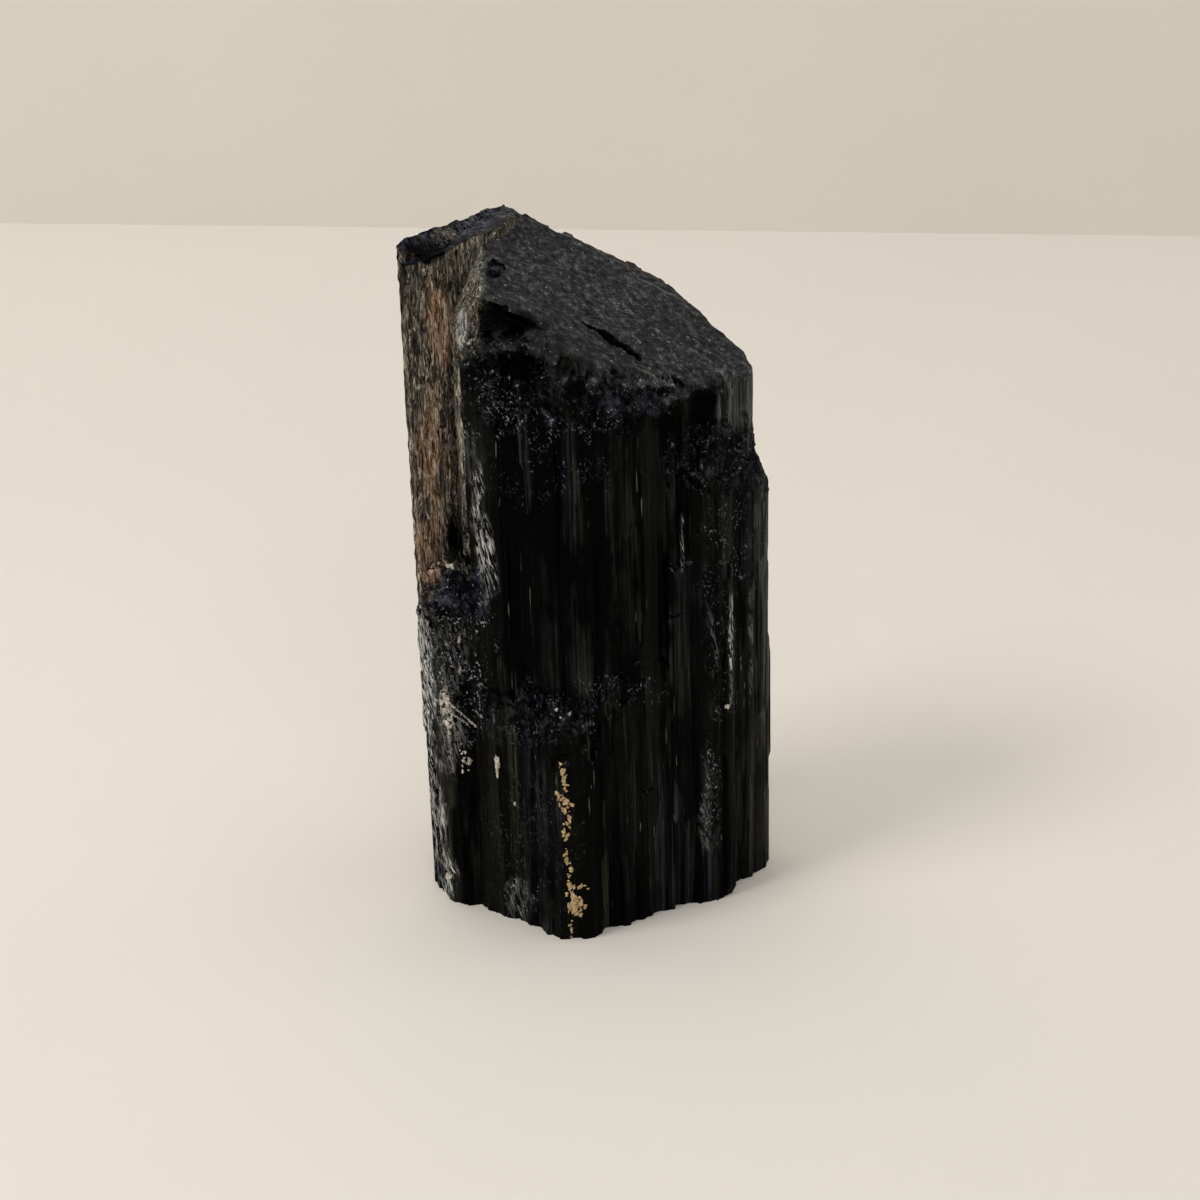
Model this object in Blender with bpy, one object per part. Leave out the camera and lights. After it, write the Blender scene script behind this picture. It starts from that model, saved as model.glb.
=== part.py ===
"""A broken crystal of black tourmaline that stands on its flat broken base.

The crystal is one piece. It is a bundle of parallel columns that grew together, each with its own
broken top. The two tall columns carry the sloping end faces, and the short ones stand in front of
them and leave ledges. Pits, chips, a slit and a crack are cut from the joined bundle.

Plans are drawn in millimetres on the base, +X to the right and -Y to the front. The whole bundle
then leans a little to the left and to the front as it rises.
"""

import math
import random

import bmesh
import bpy
from mathutils import Matrix, Vector, noise

MM = 0.001

# The crystal's axis moves by this much for each millimetre of height.
LEAN_X = -0.025
LEAN_Y = -0.014

# Columns start below the base, and the flat base cuts them off at zero.
BELOW_BASE = -4.0
# Columns are drawn up to here, and the blocks that trim their tops reach higher.
ABOVE_TOP = 112.0
TRIM_HEIGHT = 122.0
# The trimming blocks stand out this far beyond a column's plan.
TRIM_MARGIN = 2.0
# The block that cuts the base flat, as its half width and its depth.
BASE_CUT_HALF = 60.0
BASE_CUT_DEPTH = 20.0

# The striae are narrow ribs along every column, of uneven width and height.
RIB_PITCH = 1.5
RIB_DEPTH = 0.6
# A rib's place along the outline varies by this share of the pitch either way.
RIB_SHIFT = 0.3

# A broken top has two sizes of lumps, each with its wavelength and its share of the lumps' size.
LUMP_SIZES = [(3.1, 2.2), (1.2, 1.1)]
LUMP_SEED_GAP = 20.0
# The worn rim's width varies by this share, over this wavelength.
WEAR_VARIATION = 0.8
WEAR_WAVELENGTH = 2.6
# Pits and grown lumps swell and shrink by this share, this often around them.
STONE_SWELL = 0.55
STONE_FREQUENCY = 1.9

# The noise of each column's top and of each pit starts this far from the last one's.
TOP_SEED_STEP = 1.7
FIRST_PIT_SEED = 102.3
PIT_SEED_STEP = 3.3

# The main end face slopes down to the right and to the front.
END_FACE = {"height": 89.7, "along_x": -0.474, "along_y": 0.282}
# The small end face behind the fibrous slab slopes the same way, but more steeply.
BACK_END_FACE = {"height": 79.0, "along_x": -0.849, "along_y": 0.625}

# Each column has its plan, drawn anticlockwise from its front left, and its broken top.
# A top is a plane, height + along_x * x + along_y * y, with lumps of the given size on it.
COLUMNS = {
    "main": {
        "plan": [
            (-16.4, -7.6), (-13.5, -8.5), (-8.0, -9.5), (-2.6, -10.2), (2.6, -11.3),
            (6.0, -9.7), (10.4, -6.8), (14.6, -4.0), (17.8, -3.0), (19.6, 0.6),
            (22.6, 4.8), (23.1, 7.2), (22.1, 9.7), (17.6, 12.9), (15.9, 15.2),
            (10.8, 18.3), (4.0, 18.9), (-4.0, 18.7), (-10.9, 18.7), (-12.6, 13.2),
            (-13.4, 5.2), (-15.4, -1.0),
        ],
        "top": END_FACE,
        "lumps": 0.14,
        "cell": 1.7,
        "worn": {"until_x": 11.0, "width": 2.3, "drop": 3.6},
    },
    "fibrous_slab": {
        "plan": [
            (-23.8, -2.2), (-19.3, 1.6), (-15.8, 6.0), (-12.0, 10.0), (-9.0, 14.0),
            (-10.6, 18.5), (-13.0, 15.5), (-16.8, 10.5), (-20.8, 5.4), (-23.5, 1.8),
            (-24.2, -0.6),
        ],
        "top": {"height": 100.0, "along_x": 0.085, "along_y": 0.03},
        "lumps": 0.25,
        "cell": 2.4,
    },
    "back_wedge": {
        "plan": [
            (-23.9, -0.3), (-19.6, 3.4), (-16.2, 7.6), (-12.0, 13.0), (-9.8, 17.8),
            (-10.9, 18.8), (-13.2, 15.9), (-17.0, 10.8), (-21.0, 5.6), (-23.8, 2.2),
            (-24.6, 0.2),
        ],
        "top": BACK_END_FACE,
        "lumps": 0.1,
        "cell": 3.0,
    },
    "left_foot": {
        "plan": [
            (-23.0, -2.8), (-21.8, -5.7), (-19.9, -6.8), (-17.4, -6.1), (-15.9, -7.6),
            (-13.0, -8.0), (-12.0, 9.6), (-14.5, 9.6), (-21.4, 2.8), (-23.2, 0.4),
        ],
        "top": {"height": 52.0, "along_x": 0.12, "along_y": 0.25},
        "lumps": 0.9,
        "cell": 1.7,
    },
    "left_bulge": {
        "plan": [
            (-24.5, -2.6), (-23.0, -5.2), (-20.6, -6.8), (-18.0, -5.0), (-19.0, 0.0),
            (-23.4, 2.0), (-24.7, 0.2),
        ],
        "top": {"height": 52.5, "along_x": 0.25, "along_y": 0.1},
        "lumps": 0.7,
        "cell": 1.7,
        "low": 27.0,
    },
    "front_foot": {
        "plan": [
            (-15.8, -7.6), (-14.1, -10.0), (-11.1, -10.9), (-8.7, -12.4), (-7.5, -14.4),
            (-5.5, -15.8), (-3.2, -15.4), (-0.7, -15.0), (0.5, -14.0), (1.5, -12.2),
            (0.5, -7.0), (-13.0, -4.0),
        ],
        "top": {"height": 44.3, "along_x": 0.04, "along_y": 0.72},
        "lumps": 1.1,
        "cell": 1.8,
    },
    "right_foot": {
        "plan": [
            (0.8, -12.8), (2.2, -12.5), (4.3, -11.6), (6.7, -10.0), (8.2, -8.4),
            (10.8, -7.4), (10.5, -4.0), (1.5, -6.0),
        ],
        "top": {"height": 45.6, "along_x": 0.1, "along_y": 0.6},
        "lumps": 0.9,
        "cell": 1.6,
    },
    "thin_column": {
        "plan": [(10.7, -7.7), (11.2, -7.9), (13.6, -6.7), (13.9, -6.3), (13.4, -2.0), (10.6, -3.5)],
        "top": {"height": 55.6, "along_x": 0.0, "along_y": 0.0},
        "lumps": 0.3,
        "cell": 1.2,
        "low": 15.0,
    },
    "right_bulge": {
        "plan": [
            (13.3, -5.6), (14.8, -5.6), (17.4, -5.2), (19.3, -4.0), (20.2, -2.2),
            (20.0, 1.5), (13.0, 1.0),
        ],
        "top": {"height": 56.5, "along_x": 0.0, "along_y": 1.1},
        "lumps": 0.9,
        "cell": 1.5,
    },
    "right_step": {
        "plan": [
            (11.2, -6.6), (14.0, -5.3), (17.9, -4.1), (20.3, -0.8), (22.9, 3.4),
            (23.3, 6.4), (22.6, 10.2), (18.5, 13.2), (13.0, 6.0),
        ],
        "top": {"height": 81.0, "along_x": -0.4, "along_y": -0.35},
        "lumps": 1.1,
        "cell": 1.5,
    },
    "right_column": {
        "plan": [
            (12.2, -6.3), (14.7, -5.4), (17.6, -4.8), (19.4, -3.0), (20.3, 0.2),
            (22.8, 1.4), (24.9, 3.9), (25.7, 6.2), (25.0, 9.6), (22.2, 12.6),
            (16.5, 13.8), (13.0, 2.0),
        ],
        "top": {"height": 86.0, "along_x": -0.98, "along_y": 0.42},
        "lumps": 1.1,
        "cell": 1.7,
    },
    "grey_flank": {
        "plan": [
            (-16.4, -6.5), (-14.5, -6.8), (-13.4, 5.2), (-13.6, 9.6), (-15.6, 7.9), (-18.3, 3.2),
        ],
        "top": {"height": 115.25, "along_x": 1.5, "along_y": 0.45},
        "lumps": 0.45,
        "cell": 1.5,
        "low": 55.0,
    },
}

# Rough pits, with their middle, their half sizes and their turn about the vertical in degrees.
PITS = {
    "corner_break": {"middle": (-12.4, -8.9, 92.0), "half": (7.2, 4.4, 4.0), "turn": 10.0},
    "corner_slope": {"middle": (-17.6, -3.8, 92.6), "half": (3.6, 4.2, 7.5), "turn": 14.0},
    "end_face_pit": {"middle": (-11.6, 2.6, 95.9), "half": (0.9, 1.9, 1.1), "turn": 0.0},
    "end_face_hollow": {"middle": (4.6, -8.3, 85.2), "half": (1.3, 0.9, 0.8), "turn": -20.0},
    "rim_chip_middle": {"middle": (-3.2, -11.0, 86.6), "half": (2.6, 1.3, 2.6), "turn": 0.0},
    "rim_chip_ridge": {"middle": (1.0, -12.4, 84.6), "half": (1.6, 1.2, 3.0), "turn": 8.0},
    "rim_chip_right": {"middle": (8.0, -9.6, 83.0), "half": (2.8, 1.3, 2.0), "turn": 32.0},
    "left_recess": {"middle": (-17.4, -3.6, 58.5), "half": (1.9, 3.4, 5.4), "turn": 20.0},
    "foot_top_left": {"middle": (-24.0, -5.0, 50.5), "half": (3.0, 3.4, 3.4), "turn": 0.0},
    "right_notch": {"middle": (15.8, -4.2, 78.0), "half": (2.3, 1.7, 3.6), "turn": 25.0},
    "right_cavity": {"middle": (17.0, -6.1, 17.0), "half": (1.7, 1.4, 6.6), "turn": 0.0},
}

# The slit on the main end face, as points of its plan, and its width and depth.
SLIT = [(-0.6, 0.2), (2.4, -0.4), (5.2, -2.4), (7.4, -4.9)]
SLIT_WIDTH = 0.9
SLIT_DEPTH = 1.3
# Each stretch of the slit runs on into the next, and its cutter stands this far above the face.
SLIT_OVERLAP = 0.4
SLIT_CLEARANCE = 1.0

# Cracks run across a column: their height, plan place, width and how far they cut in.
CRACKS = {
    "thin_column_crack": {"middle": (12.3, -8.0, 48.6), "half": (2.2, 1.0, 0.32)},
    "right_foot_crack": {"middle": (8.6, -9.6, 21.5), "half": (2.0, 1.0, 0.3)},
}

# The grooves that part the short columns, as plan points, half width and height range.
GROOVES = {
    "left_groove": {"at": (-16.0, -8.9), "half": 0.8, "low": BELOW_BASE, "high": 58.0},
    "right_groove": {"at": (20.9, -1.6), "half": 0.75, "low": BELOW_BASE, "high": 60.0},
    "foot_groove": {"at": (1.6, -13.3), "half": 0.6, "low": BELOW_BASE, "high": 38.0},
}

# A rough cap grown on the left foot, and a small crystal grown in the end face's pit.
FOOT_CAP = {"middle": (-19.4, -3.0, 50.6), "half": (4.2, 3.8, 4.4), "seed": 7.0}
PIT_CRYSTAL = {"middle": (-11.7, 2.2, 95.3), "half": (0.45, 0.8, 0.9), "seed": 9.0}

BODY_COLOUR = (0.012, 0.012, 0.014, 1.0)
BODY_ROUGHNESS = 0.32


def clear_scene():
    for old in list(bpy.data.objects):
        bpy.data.objects.remove(old, do_unlink=True)


def crystal_material():
    material = bpy.data.materials.new("black_tourmaline")
    material.use_nodes = True
    shader = material.node_tree.nodes["Principled BSDF"]
    shader.inputs["Base Color"].default_value = BODY_COLOUR
    shader.inputs["Roughness"].default_value = BODY_ROUGHNESS
    shader.inputs["Metallic"].default_value = 0.0
    return material


def leaning(x, y, z):
    """The place in metres of a point given in millimetres on the upright bundle."""
    return Vector(((x + LEAN_X * z) * MM, (y + LEAN_Y * z) * MM, z * MM))


def object_of(name, shape):
    """An object from a bmesh in upright millimetres, after the lean, as a hidden helper."""
    bmesh.ops.recalc_face_normals(shape, faces=shape.faces)
    for vertex in shape.verts:
        vertex.co = leaning(*vertex.co)
    mesh = bpy.data.meshes.new(name)
    shape.to_mesh(mesh)
    shape.free()
    made = bpy.data.objects.new(name, mesh)
    made.hide_render = True
    made.display_type = "WIRE"
    bpy.context.scene.collection.objects.link(made)
    return made


def combine(target, tool, operation):
    """Adds a Boolean of the tool to the target's modifiers.

    The exact solver leaves open edges where the lumpy tops cross the ribs, so this is the manifold one.
    """
    modifier = target.modifiers.new(tool.name, "BOOLEAN")
    modifier.operation = operation
    modifier.solver = "MANIFOLD"
    modifier.object = tool


def ribbed_outline(plan, seed):
    """The plan's outline with ribs along it: points in turn on the line and outside it."""
    draw = random.Random(seed)
    outline = []
    for (x0, y0), (x1, y1) in zip(plan, plan[1:] + plan[:1]):
        length = math.hypot(x1 - x0, y1 - y0)
        outward = ((y1 - y0) / length, (x0 - x1) / length)
        steps = max(1, round(length / RIB_PITCH))
        for step in range(steps):
            share = (step + draw.uniform(-RIB_SHIFT, RIB_SHIFT) * (step > 0)) / steps
            rise = RIB_DEPTH * draw.uniform(-0.5, 0.5)
            outline.append((
                x0 + (x1 - x0) * share + outward[0] * rise,
                y0 + (y1 - y0) * share + outward[1] * rise,
            ))
    return outline


def prism(name, outline, low, high):
    """An upright prism on an outline."""
    shape = bmesh.new()
    corners = [shape.verts.new((x, y, low)) for x, y in outline]
    floor = shape.faces.new(corners)
    extruded = bmesh.ops.extrude_face_region(shape, geom=[floor])
    lifted = [item for item in extruded["geom"] if isinstance(item, bmesh.types.BMVert)]
    bmesh.ops.translate(shape, verts=lifted, vec=(0.0, 0.0, high - low))
    return object_of(name, shape)


def rim_distance(x, y, plan):
    """How far a plan point is from the nearest side of a plan."""
    nearest = math.inf
    for (x0, y0), (x1, y1) in zip(plan, plan[1:] + plan[:1]):
        along, across = x1 - x0, y1 - y0
        share = ((x - x0) * along + (y - y0) * across) / (along ** 2 + across ** 2)
        share = min(1.0, max(0.0, share))
        nearest = min(nearest, math.hypot(x - x0 - share * along, y - y0 - share * across))
    return nearest


def rough_height(x, y, top, lumps=0.0, seed=0.0):
    """The height of a broken top at a plan point: a plane with two sizes of lumps on it."""
    height = top["height"] + top["along_x"] * x + top["along_y"] * y
    for size, (wavelength, weight) in enumerate(LUMP_SIZES):
        place = Vector((x / wavelength, y / wavelength, seed + LUMP_SEED_GAP * size))
        height += lumps * weight * noise.noise(place)
    return height


def worn_away(x, y, column, seed):
    """How much lower the front rim of a column is than its top plane, where it has broken off."""
    worn = column.get("worn")
    if worn is None or x > worn["until_x"] or y > 0.0:
        return 0.0
    uneven = noise.noise(Vector((x / WEAR_WAVELENGTH, y / WEAR_WAVELENGTH, seed)))
    width = worn["width"] * (1.0 + WEAR_VARIATION * uneven)
    return worn["drop"] * max(0.0, 1.0 - rim_distance(x, y, column["plan"]) / width)


def top_cutter(name, column, seed):
    """A block whose underside is the column's broken top, wide enough to trim all of the column."""
    plan = column["plan"]
    low_x = min(x for x, y in plan) - TRIM_MARGIN
    low_y = min(y for x, y in plan) - TRIM_MARGIN
    width = max(x for x, y in plan) + TRIM_MARGIN - low_x
    depth = max(y for x, y in plan) + TRIM_MARGIN - low_y
    across = max(2, math.ceil(width / column["cell"]))
    along = max(2, math.ceil(depth / column["cell"]))
    shape = bmesh.new()
    bmesh.ops.create_grid(shape, x_segments=across, y_segments=along, size=1.0)
    for vertex in shape.verts:
        x = low_x + width * (vertex.co.x + 1.0) / 2.0
        y = low_y + depth * (vertex.co.y + 1.0) / 2.0
        height = rough_height(x, y, column["top"], column["lumps"], seed)
        vertex.co = (x, y, height - worn_away(x, y, column, seed))
    extruded = bmesh.ops.extrude_face_region(shape, geom=list(shape.faces))
    for item in extruded["geom"]:
        if isinstance(item, bmesh.types.BMVert):
            item.co.z = TRIM_HEIGHT
    return object_of(name + "_top", shape)


def rough_stone(name, middle, half, seed, turn=0.0):
    """A lumpy ellipsoid, for a broken pit or a grown lump."""
    shape = bmesh.new()
    bmesh.ops.create_icosphere(shape, subdivisions=2, radius=1.0)
    for vertex in shape.verts:
        swell = 1.0 + STONE_SWELL * noise.noise(vertex.co * STONE_FREQUENCY + Vector((seed, 0.0, 0.0)))
        vertex.co = Vector((
            vertex.co.x * half[0], vertex.co.y * half[1], vertex.co.z * half[2],
        )) * swell
    bmesh.ops.rotate(
        shape, verts=shape.verts, cent=(0.0, 0.0, 0.0),
        matrix=Matrix.Rotation(math.radians(turn), 3, "Z"),
    )
    bmesh.ops.translate(shape, verts=shape.verts, vec=middle)
    return object_of(name, shape)


def box(name, middle, half):
    shape = bmesh.new()
    bmesh.ops.create_cube(shape, size=2.0)
    bmesh.ops.scale(shape, verts=shape.verts, vec=half)
    bmesh.ops.translate(shape, verts=shape.verts, vec=middle)
    return object_of(name, shape)


def slit_piece(name, start, end):
    """A narrow wedge along one stretch of the slit, sunk into the main end face."""
    (x0, y0), (x1, y1) = start, end
    length = math.hypot(x1 - x0, y1 - y0)
    along = ((x1 - x0) / length, (y1 - y0) / length)
    side = (-along[1] * SLIT_WIDTH / 2.0, along[0] * SLIT_WIDTH / 2.0)
    shape = bmesh.new()
    rings = []
    for x, y, reach in ((x0, y0, -SLIT_OVERLAP), (x1, y1, SLIT_OVERLAP)):
        x += along[0] * reach
        y += along[1] * reach
        face = rough_height(x, y, END_FACE)
        rings.append([
            shape.verts.new((x + side[0], y + side[1], face + SLIT_CLEARANCE)),
            shape.verts.new((x - side[0], y - side[1], face + SLIT_CLEARANCE)),
            shape.verts.new((x, y, face - SLIT_DEPTH)),
        ])
    first, last = rings
    shape.faces.new(first)
    shape.faces.new(last[::-1])
    for here in range(3):
        after = (here + 1) % 3
        shape.faces.new((first[here], first[after], last[after], last[here]))
    return object_of(name, shape)


def grown_column(name, column, seed):
    """A ribbed column with its broken top."""
    outline = ribbed_outline(column["plan"], seed)
    made = prism(name, outline, column.get("low", BELOW_BASE), ABOVE_TOP)
    combine(made, top_cutter(name, column, TOP_SEED_STEP * seed), "DIFFERENCE")
    return made


def cut_details(crystal):
    for index, (name, pit) in enumerate(PITS.items()):
        seed = FIRST_PIT_SEED + PIT_SEED_STEP * index
        combine(crystal, rough_stone(name, pit["middle"], pit["half"], seed, pit["turn"]), "DIFFERENCE")
    for index, (start, end) in enumerate(zip(SLIT, SLIT[1:])):
        combine(crystal, slit_piece("slit_" + str(index), start, end), "DIFFERENCE")
    for name, crack in CRACKS.items():
        combine(crystal, box(name, crack["middle"], crack["half"]), "DIFFERENCE")
    for name, groove in GROOVES.items():
        x, y = groove["at"]
        half = groove["half"]
        diamond = [(x - half, y), (x, y - half), (x + half, y), (x, y + half)]
        combine(crystal, prism(name, diamond, groove["low"], groove["high"]), "DIFFERENCE")


def build_crystal():
    names = list(COLUMNS)
    columns = [grown_column(name, COLUMNS[name], seed) for seed, name in enumerate(names, start=1)]
    crystal = columns[0]
    crystal.name = "crystal"
    crystal.hide_render = False
    crystal.display_type = "TEXTURED"
    for column in columns[1:]:
        combine(crystal, column, "UNION")
    combine(crystal, rough_stone("left_foot_cap", **FOOT_CAP), "UNION")
    cut_details(crystal)
    combine(crystal, rough_stone("pit_crystal", **PIT_CRYSTAL), "UNION")
    half_depth = BASE_CUT_DEPTH / 2.0
    base_cut = box("base_cut", (0.0, 0.0, -half_depth), (BASE_CUT_HALF, BASE_CUT_HALF, half_depth))
    combine(crystal, base_cut, "DIFFERENCE")
    crystal.data.materials.append(crystal_material())
    return crystal


def main():
    clear_scene()
    build_crystal()


main()
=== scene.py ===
"""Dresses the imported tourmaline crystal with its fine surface, its mineral grains and its finishes.

The crystal is a bundle of upright columns with striated walls and broken tops. Plans are drawn in
millimetres on the base, +X to the right and -Y to the front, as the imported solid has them. The
finished bundle leans a little and is then scaled to metres.
"""

import logging
import math
from dataclasses import dataclass
from enum import Enum
from typing import Iterable, Optional, Union

import bmesh
import bpy
import numpy as np
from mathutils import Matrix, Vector
from mathutils.bvhtree import BVHTree


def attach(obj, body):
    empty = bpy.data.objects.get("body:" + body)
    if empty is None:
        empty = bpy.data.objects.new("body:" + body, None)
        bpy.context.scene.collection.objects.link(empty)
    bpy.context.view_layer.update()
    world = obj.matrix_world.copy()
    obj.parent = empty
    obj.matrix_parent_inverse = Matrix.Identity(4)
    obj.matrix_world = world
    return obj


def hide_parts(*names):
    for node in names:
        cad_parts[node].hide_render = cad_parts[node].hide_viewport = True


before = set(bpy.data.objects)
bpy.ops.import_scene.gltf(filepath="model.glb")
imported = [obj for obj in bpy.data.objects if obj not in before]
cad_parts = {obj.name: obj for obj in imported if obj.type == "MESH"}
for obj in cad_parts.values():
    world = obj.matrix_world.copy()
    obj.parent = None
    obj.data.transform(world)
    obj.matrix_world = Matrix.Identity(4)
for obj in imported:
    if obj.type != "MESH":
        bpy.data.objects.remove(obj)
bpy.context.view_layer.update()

MM = 0.001
# The bundle's axis moves by this much for each millimetre of height.
LEAN = (-0.025, -0.014)
# Columns start below the base, and the flat base cuts them off at zero.
BELOW_BASE = -2.0
# The highest point of any tool that cuts a top.
ABOVE_TOP = 120.0

Colour = tuple[float, float, float]
# Where something begins and where it is full.
Span = tuple[float, float]
Route = tuple[tuple[float, float], ...]

log = logging.getLogger("tourmaline")


def padded(*parts: np.ndarray) -> np.ndarray:
    """The parts side by side, with zeros in the rest of each row of three."""
    joined = np.column_stack(parts)
    return np.pad(joined, ((0, 0), (0, 3 - joined.shape[1])))


def hashed(cells: np.ndarray, seed: int) -> np.ndarray:
    """Gives each lattice corner a fixed number from 0 to 1.

    Args:
        cells: whole-number corners, one row of three each.
        seed: picks another set of numbers.

    Returns:
        One number for each row: the corner's integers mixed by multiplying and shifting.
    """
    mixed = cells.astype(np.int64) @ np.array([73856093, 19349663, 83492791], np.int64)
    mixed = (mixed + np.int64(seed) * 2654435761).astype(np.uint64)
    for factor in (0xFF51AFD7ED558CCD, 0xC4CEB9FE1A85EC53):
        mixed ^= mixed >> np.uint64(33)
        mixed *= np.uint64(factor)
    mixed ^= mixed >> np.uint64(33)
    return mixed / float(2 ** 64)


def noise(points: np.ndarray, seed: int) -> np.ndarray:
    """Smooth value noise.

    Args:
        points: places in units of the noise's wavelength, one row of three each.
        seed: picks another pattern.

    Returns:
        A number from -1 to 1 for each place: the eight corners' numbers blended by smooth steps.
    """
    low = np.floor(points)
    share = points - low
    share = share * share * (3.0 - 2.0 * share)
    total = np.zeros(len(points))
    for corner in np.ndindex(2, 2, 2):
        weight = np.prod(np.where(corner, share, 1.0 - share), axis=1)
        total += weight * hashed(low + np.array(corner), seed)
    return 2.0 * total - 1.0


def fractal(points: np.ndarray, seed: int, octaves: int = 3, fade: float = 0.5) -> np.ndarray:
    """Noise with finer and weaker copies of itself added, each at twice the last one's frequency.

    Args:
        points: places in units of the coarsest wavelength, one row of three each.
        seed: picks another pattern.
        octaves: how many copies are added up.
        fade: how strong each copy is beside the last one.

    Returns:
        The sum for each place.
    """
    total = np.zeros(len(points))
    for octave in range(octaves):
        total += fade ** octave * noise(points * 2.0 ** octave, seed + octave)
    return total


def shards(points: np.ndarray, seed: int) -> np.ndarray:
    """Relief of flat tilted facets, as broken stone has.

    Args:
        points: places in units of a facet's width, one row of three each.
        seed: picks another set of facets.

    Returns:
        A number from about -1 to 1 for each place. Space is parted in cells around scattered
        centres, and each cell's relief is a plane of its own tilt and height.
    """
    low = np.floor(points)
    nearest = np.full(len(points), np.inf)
    relief = np.zeros(len(points))
    for step in np.ndindex(3, 3, 3):
        corner = low + np.array(step) - 1.0
        gap = points - corner - np.stack([hashed(corner, seed + axis) for axis in range(3)], axis=1)
        far = (gap ** 2).sum(axis=1)
        tilt = np.stack([hashed(corner, seed + 3 + axis) for axis in range(3)], axis=1) - 0.5
        height = 2.0 * (gap * tilt).sum(axis=1) + hashed(corner, seed + 6) - 0.5
        closer = far < nearest
        nearest = np.where(closer, far, nearest)
        relief = np.where(closer, height, relief)
    return relief


def smooth_step(low: float, high: float, value: np.ndarray) -> np.ndarray:
    """A smooth step from 0 to 1.

    Args:
        low: where the step begins. Where it is above high, the step goes down.
        high: where the step is full.
        value: the numbers to step.

    Returns:
        0 before the step, 1 after it, and share squared times (3 - 2 share) within it.
    """
    share = np.clip((value - low) / (high - low), 0.0, 1.0)
    return share * share * (3.0 - 2.0 * share)


def linked(name: str, data: bpy.types.ID) -> bpy.types.Object:
    """Makes an object of a mesh, a light or a camera and links it to the scene.

    Args:
        name: the object's name.
        data: what it shows.

    Returns:
        The object.
    """
    made = bpy.data.objects.new(name, data)
    bpy.context.scene.collection.objects.link(made)
    return made


def solid(name: str, points: np.ndarray, faces: list[list[int]]) -> bpy.types.Object:
    """Makes an object and links it to the scene.

    Args:
        name: the object's name.
        points: its points, one row of three each.
        faces: the point numbers of each face, of any number of corners.

    Returns:
        The object.
    """
    mesh = bpy.data.meshes.new(name)
    mesh.from_pydata(points.tolist(), [], faces)
    mesh.update()
    return linked(name, mesh)


def mesh_points(mesh: bpy.types.Mesh) -> np.ndarray:
    """The mesh's points, one row each.

    Args:
        mesh: a mesh.

    Returns:
        The points in the mesh's own units.
    """
    flat = np.empty(len(mesh.vertices) * 3, np.float32)
    mesh.vertices.foreach_get("co", flat)
    return flat.reshape(-1, 3).astype(float)


def leaned(points: np.ndarray) -> np.ndarray:
    """Leans upright millimetres and scales them to metres.

    Args:
        points: upright millimetres, one row of three each.

    Returns:
        Metres, moved aside in proportion to the height.
    """
    moved = points.copy()
    moved[:, 0] += LEAN[0] * points[:, 2]
    moved[:, 1] += LEAN[1] * points[:, 2]
    return moved * MM


def grid_faces(rows: int, columns: int, wrap: bool) -> np.ndarray:
    """The quads of a grid numbered row by row, anticlockwise seen with rows going up.

    Args:
        rows: how many rows of points.
        columns: how many points in a row.
        wrap: whether the last column joins the first.

    Returns:
        One row of four point numbers for each quad.
    """
    across = columns if wrap else columns - 1
    row, column = np.meshgrid(np.arange(rows - 1), np.arange(across), indexing="ij")
    after = (column + 1) % columns
    corners = (row * columns + column, row * columns + after,
               (row + 1) * columns + after, (row + 1) * columns + column)
    return np.stack([corner.ravel() for corner in corners], axis=1)


def paced(route: Route, step: float) -> tuple[np.ndarray, np.ndarray]:
    """Goes along an open line at even steps.

    Args:
        route: the line's corners.
        step: the distance from one place to the next.

    Returns:
        How much of the way each place is, and the places: a corner plus a share of the next side.
    """
    line = np.array(route, float)
    runs = np.concatenate([[0.0], np.cumsum(np.linalg.norm(np.diff(line, axis=0), axis=1))])
    reach = np.arange(0.0, runs[-1], step)
    return reach / runs[-1], np.column_stack([np.interp(reach, runs, part) for part in line.T])


@dataclass(frozen=True)
class Plan:
    """The closed outline of a column on the base, anticlockwise, in millimetres."""

    corners: Route

    def ring(self) -> tuple[np.ndarray, np.ndarray]:
        """The corners and the corners after them, as arrays."""
        here = np.array(self.corners, float)
        return here, np.roll(here, -1, axis=0)

    def walk(self, spacing: float) -> tuple[np.ndarray, np.ndarray, np.ndarray]:
        """Points along the outline.

        Args:
            spacing: the distance from one point to the next.

        Returns:
            The points, the outward direction at each, and how far along the outline each is. A
            point is a corner plus a share of the way to the next one, and the directions are
            averaged over a millimetre and a half.
        """
        here, after = self.ring()
        lengths = np.linalg.norm(after - here, axis=1)
        starts = np.concatenate([[0.0], np.cumsum(lengths)])
        count = int(round(starts[-1] / spacing))
        along = np.linspace(0.0, starts[-1], count, endpoint=False)
        side = np.searchsorted(starts, along, side="right") - 1
        share = ((along - starts[side]) / lengths[side])[:, None]
        points = here[side] * (1.0 - share) + after[side] * share
        reach = max(1, int(0.75 / spacing))
        tangent = np.roll(points, -reach, axis=0) - np.roll(points, reach, axis=0)
        outward = np.stack([tangent[:, 1], -tangent[:, 0]], axis=1)
        return points, outward / np.linalg.norm(outward, axis=1)[:, None], along

    def rim_distance(self, points: np.ndarray) -> np.ndarray:
        """How far each plan point is from the outline.

        Args:
            points: places on the plan, one row of two each.

        Returns:
            The shortest of the distances to the sides, each to the nearest share of the side.
        """
        nearest = np.full(len(points), np.inf)
        for start, end in zip(*self.ring()):
            side = end - start
            share = np.clip((points - start) @ side / (side @ side), 0.0, 1.0)
            gap = np.linalg.norm(points - start - share[:, None] * side, axis=1)
            nearest = np.minimum(nearest, gap)
        return nearest

    def box(self, margin: float) -> tuple[np.ndarray, np.ndarray]:
        """The lowest and highest corner of the outline's box, widened by a margin."""
        here, _ = self.ring()
        return here.min(axis=0) - margin, here.max(axis=0) + margin


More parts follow.
